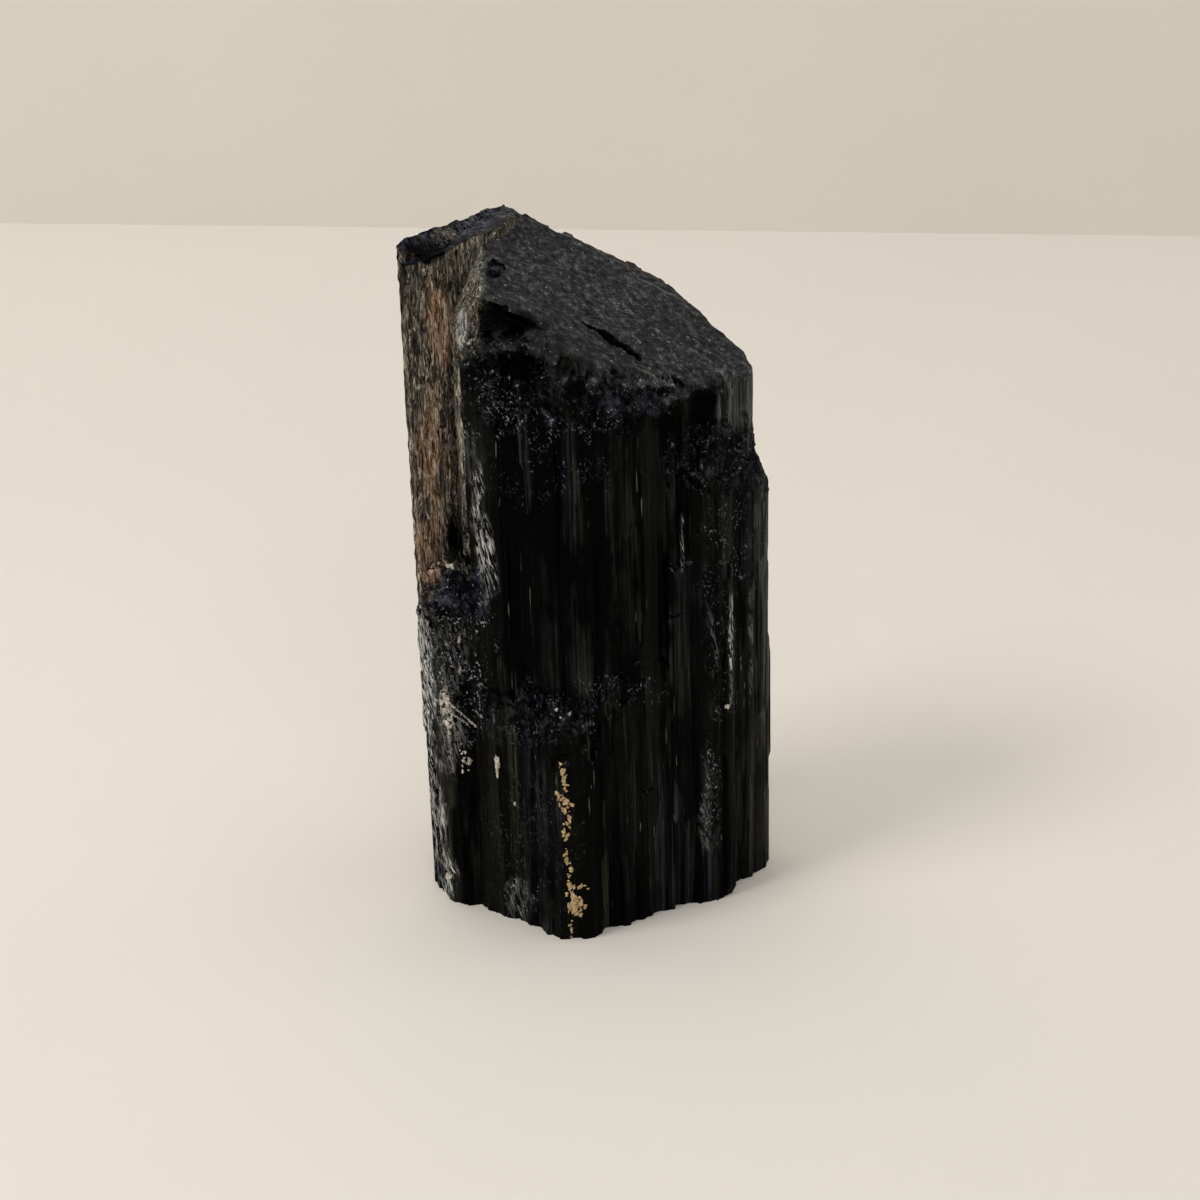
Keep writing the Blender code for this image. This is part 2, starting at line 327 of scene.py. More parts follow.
def line_distance(route: Route, points: np.ndarray) -> np.ndarray:
    """How far each plan point is from an open line, which is an outline there and back."""
    return Plan((*route, *route[-2:0:-1])).rim_distance(points)


@dataclass(frozen=True)
class Wear:
    """How far the front rim of a top has broken down, in millimetres."""

    until_x: float
    width: float
    drop: float

    def depth(self, points: np.ndarray, plan: Plan, seed: int) -> np.ndarray:
        """How much lower the rim is at each plan point.

        Args:
            points: places on the plan, one row of two each.
            plan: the column's outline.
            seed: picks how uneven the width is.

        Returns:
            The drop, which fades from the outline inwards over the width.
        """
        flat = padded(points)
        width = self.width * (1.0 + 0.75 * fractal(flat / 3.4, seed, 3, 0.6))
        inner = np.clip(1.0 - plan.rim_distance(points) / np.maximum(width, 0.2), 0.0, 1.0)
        front = smooth_step(1.5, -1.5, points[:, 1])
        left = smooth_step(self.until_x + 1.5, self.until_x - 1.5, points[:, 0])
        return self.drop * inner ** 0.8 * front * left


@dataclass(frozen=True)
class Top:
    """The broken or grown top of a column: a sloping plane with lumps on it, in millimetres."""

    height: float
    along_x: float
    along_y: float
    lumps: float
    wear: Optional[Wear] = None
    rounding: float = 0.0
    swell: float = 3.1
    facet: float = 1.5
    rounded: float = 1.8

    def plane(self, x: np.ndarray, y: np.ndarray) -> np.ndarray:
        """The height of the plane over each place."""
        return self.height + self.along_x * x + self.along_y * y

    def surface(self, points: np.ndarray, plan: Plan, seed: int) -> np.ndarray:
        """The height of the top at each plan point.

        Args:
            points: places on the plan, one row of two each.
            plan: the column's outline.
            seed: picks the lumps.

        Returns:
            The plane plus noise and facets, less the worn rim and the rounding, which grows with
            the square of the nearness to the outline.
        """
        flat = padded(points)
        lumps = 1.6 * noise(flat / self.swell, seed) + 1.5 * shards(flat / self.facet, seed + 7)
        height = self.plane(points[:, 0], points[:, 1]) + self.lumps * lumps
        near = np.clip(1.0 - plan.rim_distance(points) / self.rounded, 0.0, 1.0)
        height -= self.rounding * near ** 2
        if self.wear is not None:
            height -= self.wear.depth(points, plan, seed + 11)
        return height


@dataclass(frozen=True)
class Striae:
    """The ribs, strips and grooves that run up a column's walls, in millimetres."""

    rib: float = 0.25
    strip: float = 0.34
    needle: float = 0.15
    flow: float = 26.0
    wave: float = 2.3
    wide: float = 1.9
    thin: float = 0.75

    def strips(self, along: np.ndarray, height: np.ndarray, width: float, length: float,
               seed: int) -> np.ndarray:
        """How far each place's strip stands out.

        Args:
            along: how far round the outline each place is.
            height: how high each place is.
            width: the usual width of a strip.
            length: the usual length of the stretches that a strip is parted in.
            seed: picks the strips.

        Returns:
            The number of the place's own stretch, from -1 to 1.
        """
        sway = noise(padded(along / (5.0 * width), height / (2.0 * length)), seed)
        strip = np.floor(along / width + 0.8 * sway)
        own = hashed(padded(strip), seed + 1)
        stretch = np.floor(height / (length * (0.5 + own)) + 7.0 * own)
        return 2.0 * hashed(padded(strip, stretch), seed + 2) - 1.0

    def relief(self, points: np.ndarray, along: np.ndarray, seed: int) -> np.ndarray:
        """How far a wall stands out at each place.

        Args:
            points: places on the wall, one row of three each.
            along: how far round the outline each place is.
            seed: picks the ribs and strips.

        Returns:
            The broad ribs, the wide strips and the needles, added up.
        """
        x, y, z = points.T
        broad = noise(np.column_stack([x / self.wave, y / self.wave, z / (2.0 * self.flow)]), seed)
        wide = self.strips(along, z, self.wide, 1.2 * self.flow, seed + 10)
        thin = self.strips(along, z, self.thin, 0.5 * self.flow, seed + 20)
        return self.rib * broad + self.strip * wide + self.needle * thin


@dataclass(frozen=True)
class Bite:
    """A front wall that has broken back below its rim, with strips ending at uneven heights."""

    places: tuple[float, ...]
    reaches: tuple[float, ...]
    depth: float = 1.5
    strip: float = 1.3
    facet: float = 1.8

    def recess(self, points: np.ndarray, along: np.ndarray, top: Top, seed: int) -> np.ndarray:
        """How far the wall stands back at each place.

        Args:
            points: places on the wall, one row of three each.
            along: how far round the outline each place is.
            top: the column's top, which the reaches hang from.
            seed: picks the strips' heights.

        Returns:
            Millimetres. Each strip is broken from the rim down to a height of its own, the reach is
            read from the places along x, and facets roughen what is broken.
        """
        x, y, z = points.T
        reach = np.interp(x, self.places, self.reaches)
        strip = np.floor(along / self.strip)
        own = hashed(padded(strip), seed)
        slow = 0.5 + 0.5 * noise(padded(along / 5.0), seed + 1)
        broken = top.plane(x, y) - reach * (0.15 + 0.45 * own + 0.5 * slow)
        above = smooth_step(-0.5, 0.5, z - broken) * smooth_step(3.0, 0.0, y)
        rough = 0.45 + 0.55 * own + 0.8 * shards(points / self.facet, seed + 2)
        return self.depth * above * rough * np.clip(reach / 3.0, 0.0, 1.0)


@dataclass(frozen=True)
class Column:
    """One upright crystal of the bundle."""

    name: str
    plan: Plan
    top: Top
    striae: Striae = Striae()
    low: float = BELOW_BASE
    spacing: float = 0.28
    row: float = 1.1
    fine_top: float = 4.0
    cell: float = 0.38
    bite: Optional[Bite] = None

    def heights(self, line: np.ndarray) -> np.ndarray:
        """The heights of the rows of points.

        Args:
            line: the outline's points.

        Returns:
            Heights that are closer together below the top than further down.
        """
        rim = self.top.plane(line[:, 0], line[:, 1])
        high = float(rim.max()) + 2.5 * self.top.lumps + 1.5
        change = max(float(rim.min()) - self.fine_top, self.low + 1.0)
        below = np.linspace(self.low, change, max(2, math.ceil((change - self.low) / self.row)))
        above = np.linspace(change, high, max(2, math.ceil((high - change) / (0.45 * self.row))))
        return np.concatenate([below, above[1:]])

    def walls(self, seed: int) -> bpy.types.Object:
        """The closed prism, higher than the column's top.

        Args:
            seed: picks its ribs and strips.

        Returns:
            A solid on a grid whose first parameter is the height and whose second is the way round
            the outline. Each point is pushed out by the striae.
        """
        line, outward, along = self.plan.walk(self.spacing)
        heights = self.heights(line)
        rows = len(heights)
        points = np.empty((rows, len(line), 3))
        points[:, :, :2] = line[None, :, :]
        points[:, :, 2] = heights[:, None]
        flat = points.reshape(-1, 3)
        spread = np.tile(along, rows)
        relief = self.striae.relief(flat, spread, seed)
        if self.bite is not None:
            relief -= self.bite.recess(flat, spread, self.top, seed + 5)
        relief = relief.reshape(rows, len(line))
        points[:, :, :2] += outward[None, :, :] * relief[:, :, None]
        faces = grid_faces(rows, len(line), wrap=True).tolist()
        faces.append(list(range(len(line)))[::-1])
        faces.append(list(range((rows - 1) * len(line), rows * len(line))))
        return solid(self.name, points.reshape(-1, 3), faces)

    def topper(self, seed: int) -> bpy.types.Object:
        """The block that cuts the column's top off.

        Args:
            seed: picks the top's lumps.

        Returns:
            A solid whose underside is a grid over x and y at the height of the top's surface.
        """
        low, high = self.plan.box(margin=1.2)
        across = math.ceil((high[0] - low[0]) / self.cell) + 1
        along = math.ceil((high[1] - low[1]) / self.cell) + 1
        y, x = np.meshgrid(np.linspace(low[1], high[1], along), np.linspace(low[0], high[0], across),
                           indexing="ij")
        places = np.column_stack([x.ravel(), y.ravel()])
        under = np.column_stack([places, self.top.surface(places, self.plan, seed)])
        numbers = np.arange(along * across).reshape(along, across)
        sides = [numbers[0, :], numbers[:, -1], numbers[-1, ::-1], numbers[::-1, 0]]
        lids = np.column_stack([under[[side[0] for side in sides], :2], np.full(4, ABOVE_TOP)])
        first_lid = len(under)
        faces = grid_faces(along, across, wrap=False)[:, ::-1].tolist()
        for index, side in enumerate(sides):
            after = first_lid + (index + 1) % 4
            faces.append(side.tolist() + [after, first_lid + index])
        faces.append([first_lid, first_lid + 1, first_lid + 2, first_lid + 3])
        return solid(self.name + "_top", np.vstack([under, lids]), faces)


@dataclass(frozen=True)
class Stone:
    """A lumpy ellipsoid, for a broken pit or a grown lump, in millimetres and degrees."""

    name: str
    middle: tuple[float, float, float]
    half: tuple[float, float, float]
    turn: float = 0.0
    rough: float = 0.35
    facet: float = 1.5
    spacing: float = 0.4

    def arrays(self, seed: int) -> tuple[np.ndarray, np.ndarray, np.ndarray]:
        """The closed lump: a sphere's grid, swollen by noise and scaled to the halves.

        Args:
            seed: picks its lumps.

        Returns:
            The points over latitude and longitude, the quads, and the triangles round the poles.
        """
        around = max(10, round(2.0 * math.pi * max(self.half[:2]) / self.spacing))
        rows = max(8, min(90, round(math.pi * max(self.half) / self.spacing)))
        latitude = np.linspace(0.0, math.pi, rows + 1)[1:-1]
        longitude = np.linspace(0.0, 2.0 * math.pi, around, endpoint=False)
        polar, turned = np.meshgrid(latitude, longitude, indexing="ij")
        ring = np.column_stack([
            (np.sin(polar) * np.cos(turned)).ravel(),
            (np.sin(polar) * np.sin(turned)).ravel(),
            -np.cos(polar).ravel(),
        ])
        unit = np.vstack([ring, [[0.0, 0.0, -1.0], [0.0, 0.0, 1.0]]])
        placed = unit * np.array(self.half)
        swell = 1.0 + self.rough * noise(unit * 1.7, seed)
        swell += 0.6 * self.rough * shards(placed / self.facet, seed + 3)
        placed *= swell[:, None]
        angle = math.radians(self.turn)
        turn = np.array([[math.cos(angle), -math.sin(angle)], [math.sin(angle), math.cos(angle)]])
        placed[:, :2] = placed[:, :2] @ turn.T
        placed += np.array(self.middle)
        south, north = np.full(around, len(ring)), np.full(around, len(ring) + 1)
        column = np.arange(around)
        after = (column + 1) % around
        last = (rows - 2) * around
        caps = np.column_stack([south, after, column, north, last + column, last + after])
        return placed, grid_faces(rows - 1, around, wrap=True), caps.reshape(-1, 3)

    def shape(self, seed: int) -> bpy.types.Object:
        """The closed lump as an object, picked by the seed."""
        points, quads, caps = self.arrays(seed)
        return solid(self.name, points, quads.tolist() + caps.tolist())


END_FACE = Top(89.7, -0.474, 0.282, 0.12, Wear(until_x=11.0, width=2.3, drop=3.6), rounding=0.7)
BACK_END_FACE = Top(79.0, -0.849, 0.625, 0.03)
RIM_BITE = Bite(places=(-17.0, -2.0, 6.0, 10.0, 14.0), reaches=(13.0, 12.0, 9.0, 7.0, 1.5))

# The front of the fibrous slab, as places of its plan.
SLAB_FRONT = ((-23.8, -2.2), (-19.3, 1.6), (-15.8, 6.0), (-12.0, 10.0), (-9.0, 14.0))

COLUMNS = (
    Column("main", Plan((
        (-16.4, -7.6), (-13.5, -8.5), (-8.0, -9.5), (-2.6, -10.2), (2.6, -11.3),
        (6.0, -9.7), (10.4, -6.8), (14.6, -4.0), (17.8, -3.0), (19.6, 0.6),
        (22.6, 4.8), (23.1, 7.2), (22.1, 9.7), (17.6, 12.9), (15.9, 15.2),
        (10.8, 18.3), (4.0, 18.9), (-4.0, 18.7), (-10.9, 18.7), (-12.6, 13.2),
        (-13.4, 5.2), (-15.4, -1.0))), END_FACE, fine_top=8.0, bite=RIM_BITE),
    Column("fibrous_slab", Plan((
        *SLAB_FRONT, (-10.6, 18.5), (-13.0, 15.5), (-16.8, 10.5), (-20.8, 5.4), (-23.5, 1.8),
        (-24.2, -0.6))), Top(100.0, 0.085, 0.03, 0.07), Striae(0.30, 0.14, 0.16, 9.0)),
    Column("grey_flank", Plan((
        (-16.4, -6.5), (-14.5, -6.8), (-13.4, 5.2), (-13.6, 9.6), (-15.6, 7.9), (-18.3, 3.2))),
        Top(115.25, 1.5, 0.45, 0.35), Striae(0.25, 0.14, 0.14, 12.0), low=55.0),
    Column("back_wedge", Plan((
        (-23.9, -0.3), (-19.6, 3.4), (-16.2, 7.6), (-12.0, 13.0), (-9.8, 17.8),
        (-10.9, 18.8), (-13.2, 15.9), (-17.0, 10.8), (-21.0, 5.6), (-23.8, 2.2),
        (-24.6, 0.2))), BACK_END_FACE, Striae(0.10, 0.07, 0.05, 20.0)),
    Column("left_foot", Plan((
        (-23.0, -2.8), (-21.8, -5.7), (-19.9, -6.8), (-17.4, -6.1), (-15.9, -7.6),
        (-13.0, -8.0), (-12.0, 9.6), (-14.5, 9.6), (-21.4, 2.8), (-23.2, 0.4))),
        Top(52.0, 0.12, 0.25, 0.8), Striae(0.36, 0.30, 0.16, 9.0)),
    Column("left_bulge", Plan((
        (-24.5, -2.6), (-23.0, -5.2), (-20.6, -6.8), (-18.0, -5.0), (-19.0, 0.0),
        (-23.4, 2.0), (-24.7, 0.2))), Top(52.5, 0.25, 0.1, 0.6), Striae(0.36, 0.26, 0.16, 8.0),
        low=27.0),
    Column("front_foot", Plan((
        (-15.8, -7.6), (-14.1, -10.0), (-11.1, -10.9), (-8.7, -12.4), (-7.5, -14.4),
        (-5.5, -15.8), (-3.2, -15.4), (-0.7, -15.0), (0.5, -14.0), (1.5, -12.2),
        (0.5, -7.0), (-13.0, -4.0))), Top(44.3, 0.04, 0.72, 0.8), Striae(0.34, 0.26, 0.14, 14.0),
        bite=Bite(places=(-16.0, -9.0, 1.5), reaches=(4.0, 9.0, 8.0), depth=0.8), fine_top=8.0),
    Column("right_foot", Plan((
        (0.8, -12.8), (2.2, -12.5), (4.3, -11.6), (6.7, -10.0), (8.2, -8.4),
        (10.8, -7.4), (10.5, -4.0), (1.5, -6.0))), Top(45.6, 0.1, 0.6, 0.7),
        bite=Bite(places=(0.0, 5.0, 11.0), reaches=(6.0, 5.0, 3.0), depth=0.6), fine_top=6.0),
    Column("thin_column", Plan((
        (10.7, -7.7), (11.2, -7.9), (13.6, -6.7), (13.9, -6.3), (13.4, -2.0), (10.6, -3.5))),
        Top(55.6, 0.0, 0.0, 0.25), Striae(0.05, 0.04, 0.05, 40.0), low=15.0),
    Column("right_bulge", Plan((
        (13.3, -5.6), (14.8, -5.6), (17.4, -5.2), (19.3, -4.0), (20.2, -2.2),
        (20.0, 1.5), (13.0, 1.0))), Top(56.5, 0.0, 1.1, 0.7)),
    Column("right_step", Plan((
        (11.2, -6.6), (14.0, -5.3), (17.9, -4.1), (20.3, -0.8), (22.9, 3.4),
        (23.3, 6.4), (22.6, 10.2), (18.5, 13.2), (13.0, 6.0))), Top(81.0, -0.4, -0.35, 0.9)),
    Column("right_column", Plan((
        (12.2, -6.3), (14.7, -5.4), (17.6, -4.8), (19.4, -3.0), (20.3, 0.2),
        (22.8, 1.4), (24.9, 3.9), (25.7, 6.2), (25.0, 9.6), (22.2, 12.6),
        (16.5, 13.8), (13.0, 2.0))), Top(86.0, -0.98, 0.42, 0.8, rounding=1.8)),
)

LUMPS = (
    Stone("left_foot_cap", (-19.4, -3.0, 50.6), (4.2, 3.8, 4.4), rough=0.3),
)

# A small crystal that has grown in the end face's pit.
PIT_CRYSTALS = (
    Stone("pit_crystal", (-11.7, 2.2, 95.3), (0.7, 1.1, 1.25), rough=0.25),
)

PITS = (
    Stone("corner_break", (-12.4, -8.9, 92.0), (7.2, 4.4, 4.0), 10.0),
    Stone("corner_slope", (-17.6, -3.8, 92.6), (3.6, 4.2, 7.5), 14.0, 0.15),
    Stone("end_face_pit", (-11.6, 2.6, 95.9), (1.3, 2.4, 1.2)),
    Stone("end_face_hollow", (4.6, -8.3, 85.2), (1.3, 0.9, 0.8), -20.0),
    Stone("rim_chip_middle", (-3.2, -11.0, 86.6), (2.6, 1.3, 2.6)),
    Stone("rim_chip_ridge", (1.0, -12.4, 84.6), (1.6, 1.2, 3.0), 8.0),
    Stone("rim_chip_right", (8.0, -9.6, 83.0), (2.8, 1.3, 2.0), 32.0),
    Stone("left_recess", (-17.4, -3.6, 58.5), (1.9, 3.4, 5.4), 20.0),
    Stone("foot_top_left", (-24.0, -5.0, 50.5), (3.0, 3.4, 3.4)),
    Stone("right_notch", (15.8, -4.2, 78.0), (2.3, 1.7, 3.6), 25.0, 0.12),
    Stone("right_cavity", (17.0, -6.1, 17.0), (1.7, 1.4, 6.6)),
    Stone("left_groove", (-16.0, -9.1, 27.0), (0.85, 0.95, 33.0), rough=0.25),
    Stone("right_groove", (20.9, -1.8, 28.0), (0.8, 0.95, 34.0), rough=0.2),
    Stone("foot_groove", (1.6, -13.5, 17.0), (0.65, 0.8, 22.0), rough=0.25),
    Stone("thin_column_crack", (12.3, -8.0, 48.6), (2.2, 1.1, 0.3), rough=0.25),
    Stone("right_foot_crack", (8.6, -9.6, 21.5), (2.0, 1.1, 0.28), rough=0.25),
)

# The slit in the end face, as places of its plan, and how far apart its hollows are.
SLIT = ((0.5, -0.8), (3.0, -1.0), (5.4, -2.2), (7.6, -3.4))
SLIT_STEP = 0.65
# The hollows' half widths in millimetres at shares of the way along the slit.
SLIT_WIDTHS = ((0.0, 0.2, 0.45, 0.7, 0.85, 1.0), (0.18, 0.40, 0.80, 0.90, 0.50, 0.28))


def slit_hollows() -> list[Stone]:
    """The hollows that make up the slit.

    Returns:
        Stones at even steps along it, each sunk in the end face and sized by the widths.
    """
    stones = []
    for index, (share, (x, y)) in enumerate(zip(*paced(SLIT, SLIT_STEP))):
        wide = np.interp(share, *SLIT_WIDTHS)
        own = hashed(np.array([[index, 3.0, 5.0]]), 91)[0]
        height = END_FACE.plane(x, y)
        half = (0.45 + 0.6 * own, wide * (0.8 + 0.8 * own), 0.5 + wide)
        stones.append(Stone("slit_hollow", (x, y, height - 0.1), half, -35.0, 0.4))
    return stones


def combine(target: bpy.types.Object, tool: bpy.types.Object, operation: str) -> None:
    """Joins two objects by a Boolean modifier.

    Args:
        target: the object that changes.
        tool: the object that is joined to it or cut out of it.
        operation: UNION or DIFFERENCE.
    """
    modifier = target.modifiers.new(tool.name, "BOOLEAN")
    modifier.operation = operation
    modifier.solver = "MANIFOLD"
    modifier.object = tool


def settled(target: bpy.types.Object) -> bpy.types.Mesh:
    """The mesh that the target's modifiers make, as a mesh of its own."""
    graph = bpy.context.evaluated_depsgraph_get()
    return bpy.data.meshes.new_from_object(target.evaluated_get(graph))


def keep_largest(mesh: bpy.types.Mesh) -> None:
    """Removes the crumbs that cutting leaves beside the main body.

    Every point starts with its own number and takes the lowest one among its neighbours, again and
    again, until each body has one number.

    Args:
        mesh: the mesh, which is changed in place.
    """
    ends = np.empty(len(mesh.edges) * 2, np.int32)
    mesh.edges.foreach_get("vertices", ends)
    first, second = ends.reshape(-1, 2).T
    body = np.arange(len(mesh.vertices))
    while True:
        low = np.minimum(body[first], body[second])
        lower = body.copy()
        np.minimum.at(lower, first, low)
        np.minimum.at(lower, second, low)
        lower = lower[lower]
        if np.array_equal(lower, body):
            break
        body = lower
    main_body = np.bincount(body).argmax()
    shape = bmesh.new()
    shape.from_mesh(mesh)
    crumbs = [vertex for vertex in shape.verts if body[vertex.index] != main_body]
    bmesh.ops.delete(shape, geom=crumbs, context="VERTS")
    shape.to_mesh(mesh)
    shape.free()


def discard(objects: Iterable[bpy.types.Object]) -> None:
    """Removes helper objects."""
    for tool in list(objects):
        bpy.data.objects.remove(tool, do_unlink=True)


@dataclass(frozen=True)
class PhotoView:
    """The photograph's camera: a square frame of 1200 pixels seen from the front and above."""

    elevation: float = 26.0
    distance: float = 0.385
    look_at: tuple[float, float, float] = (0.0, 0.0, 0.047)
    focal_pixels: float = 2706.0
    frame_pixels: float = 1200.0
    sensor_mm: float = 36.0

    def axes(self) -> tuple[np.ndarray, np.ndarray, np.ndarray]:
        """The camera's directions.

        Returns:
            Its right, up and forward directions, of length one.
        """
        tilt = math.radians(self.elevation)
        forward = np.array([0.0, math.cos(tilt), -math.sin(tilt)])
        return np.array([1.0, 0.0, 0.0]), np.array([0.0, math.sin(tilt), math.cos(tilt)]), forward

    def place(self) -> np.ndarray:
        """Where the camera stands, in metres."""
        return np.array(self.look_at) - self.axes()[2] * self.distance

    def project(self, points: np.ndarray) -> np.ndarray:
        """Where places are seen in the photograph's frame.

        Args:
            points: places in metres, one row of three each.

        Returns:
            The pixel of each: its offset over its depth, times the focal length.
        """
        right, up, forward = self.axes()
        offset = points - self.place()
        depth = offset @ forward
        middle = self.frame_pixels / 2.0
        return np.column_stack([
            middle + self.focal_pixels * (offset @ right) / depth,
            middle - self.focal_pixels * (offset @ up) / depth,
        ])

    def ray(self, pixel: tuple[float, float]) -> np.ndarray:
        """The line of sight through a pixel.

        Args:
            pixel: a place in the photograph's frame.

        Returns:
            The direction from the camera, of length one.
        """
        right, up, forward = self.axes()
        middle = self.frame_pixels / 2.0
        way = forward * self.focal_pixels + right * (pixel[0] - middle) - up * (pixel[1] - middle)
        return way / np.linalg.norm(way)

    def make(self) -> bpy.types.Object:
        """Creates the camera and makes it the scene's.

        Returns:
            The camera.
        """
        data = bpy.data.cameras.new("camera")
        data.sensor_width = self.sensor_mm
        data.lens = self.sensor_mm * self.focal_pixels / self.frame_pixels
        data.clip_start = 0.01
        data.clip_end = 20.0
        camera = linked("camera", data)
        camera.location = Vector(self.place())
        camera.rotation_euler = (math.radians(90.0 - self.elevation), 0.0, 0.0)
        bpy.context.scene.camera = camera
        return camera


VIEW = PhotoView()


class Skin(Enum):
    """What a stretch of the crystal's surface is like. Each value is the name of its attribute."""

    END_FACE = "end_face"
    FIBRES = "fibres"
    RUST = "rust"
    # Pale fibres on the slab, and a painted highlight along its crest.
    PALE_AND_HIGHLIGHT = "pale"
    # Silvery fibres and mica flecks, and painted highlights along some edges.
    SILVER_AND_HIGHLIGHT = "silver_and_highlight"
    BREAK = "broken"
    # Blue-black tint with a painted blue sheen: lit ledge tops and the back wedge's top are painted
    # lighter because they face the light.
    BLUE = "blue"
    # Painted glints: pale specks that stand in for highlights on small broken facets.
    PAINTED_GLINT = "painted_glint"
    CREAM = "cream"
    # Painted shade in hollows, pits, the slit and the cavity, where the colour goes to black; also darker
    # stone on the foot and front.
    SHADE_AND_JET = "shade_and_jet"
    # Painted sheen: grey streaks that stand in for reflections on glossy walls and edges.
    PAINTED_SHEEN = "painted_sheen"


Masks = dict[Skin, np.ndarray]


@dataclass(frozen=True)
class Patch:
    """A soft-edged oval of one kind of surface, placed by pixels of the photograph's frame."""

    x: float
    y: float
    half_x: float
    half_y: float
    tilt: float = 0.0
    strength: float = 1.0

    def cover(self, pixels: np.ndarray, ragged: np.ndarray) -> np.ndarray:
        """How much of the patch each place has.

        Args:
            pixels: where each place is in the photograph's frame.
            ragged: numbers from about -1 to 1 that shift the oval's edge.

        Returns:
            The strength inside the oval, fading to 0 outside it.
        """
        angle = math.radians(self.tilt)
        offset = pixels - np.array([self.x, self.y])
        along = offset[:, 0] * math.cos(angle) + offset[:, 1] * math.sin(angle)
        across = offset[:, 1] * math.cos(angle) - offset[:, 0] * math.sin(angle)
        reach = np.hypot(along / self.half_x, across / self.half_y) + 0.45 * ragged
        return self.strength * smooth_step(1.3, 0.6, reach)


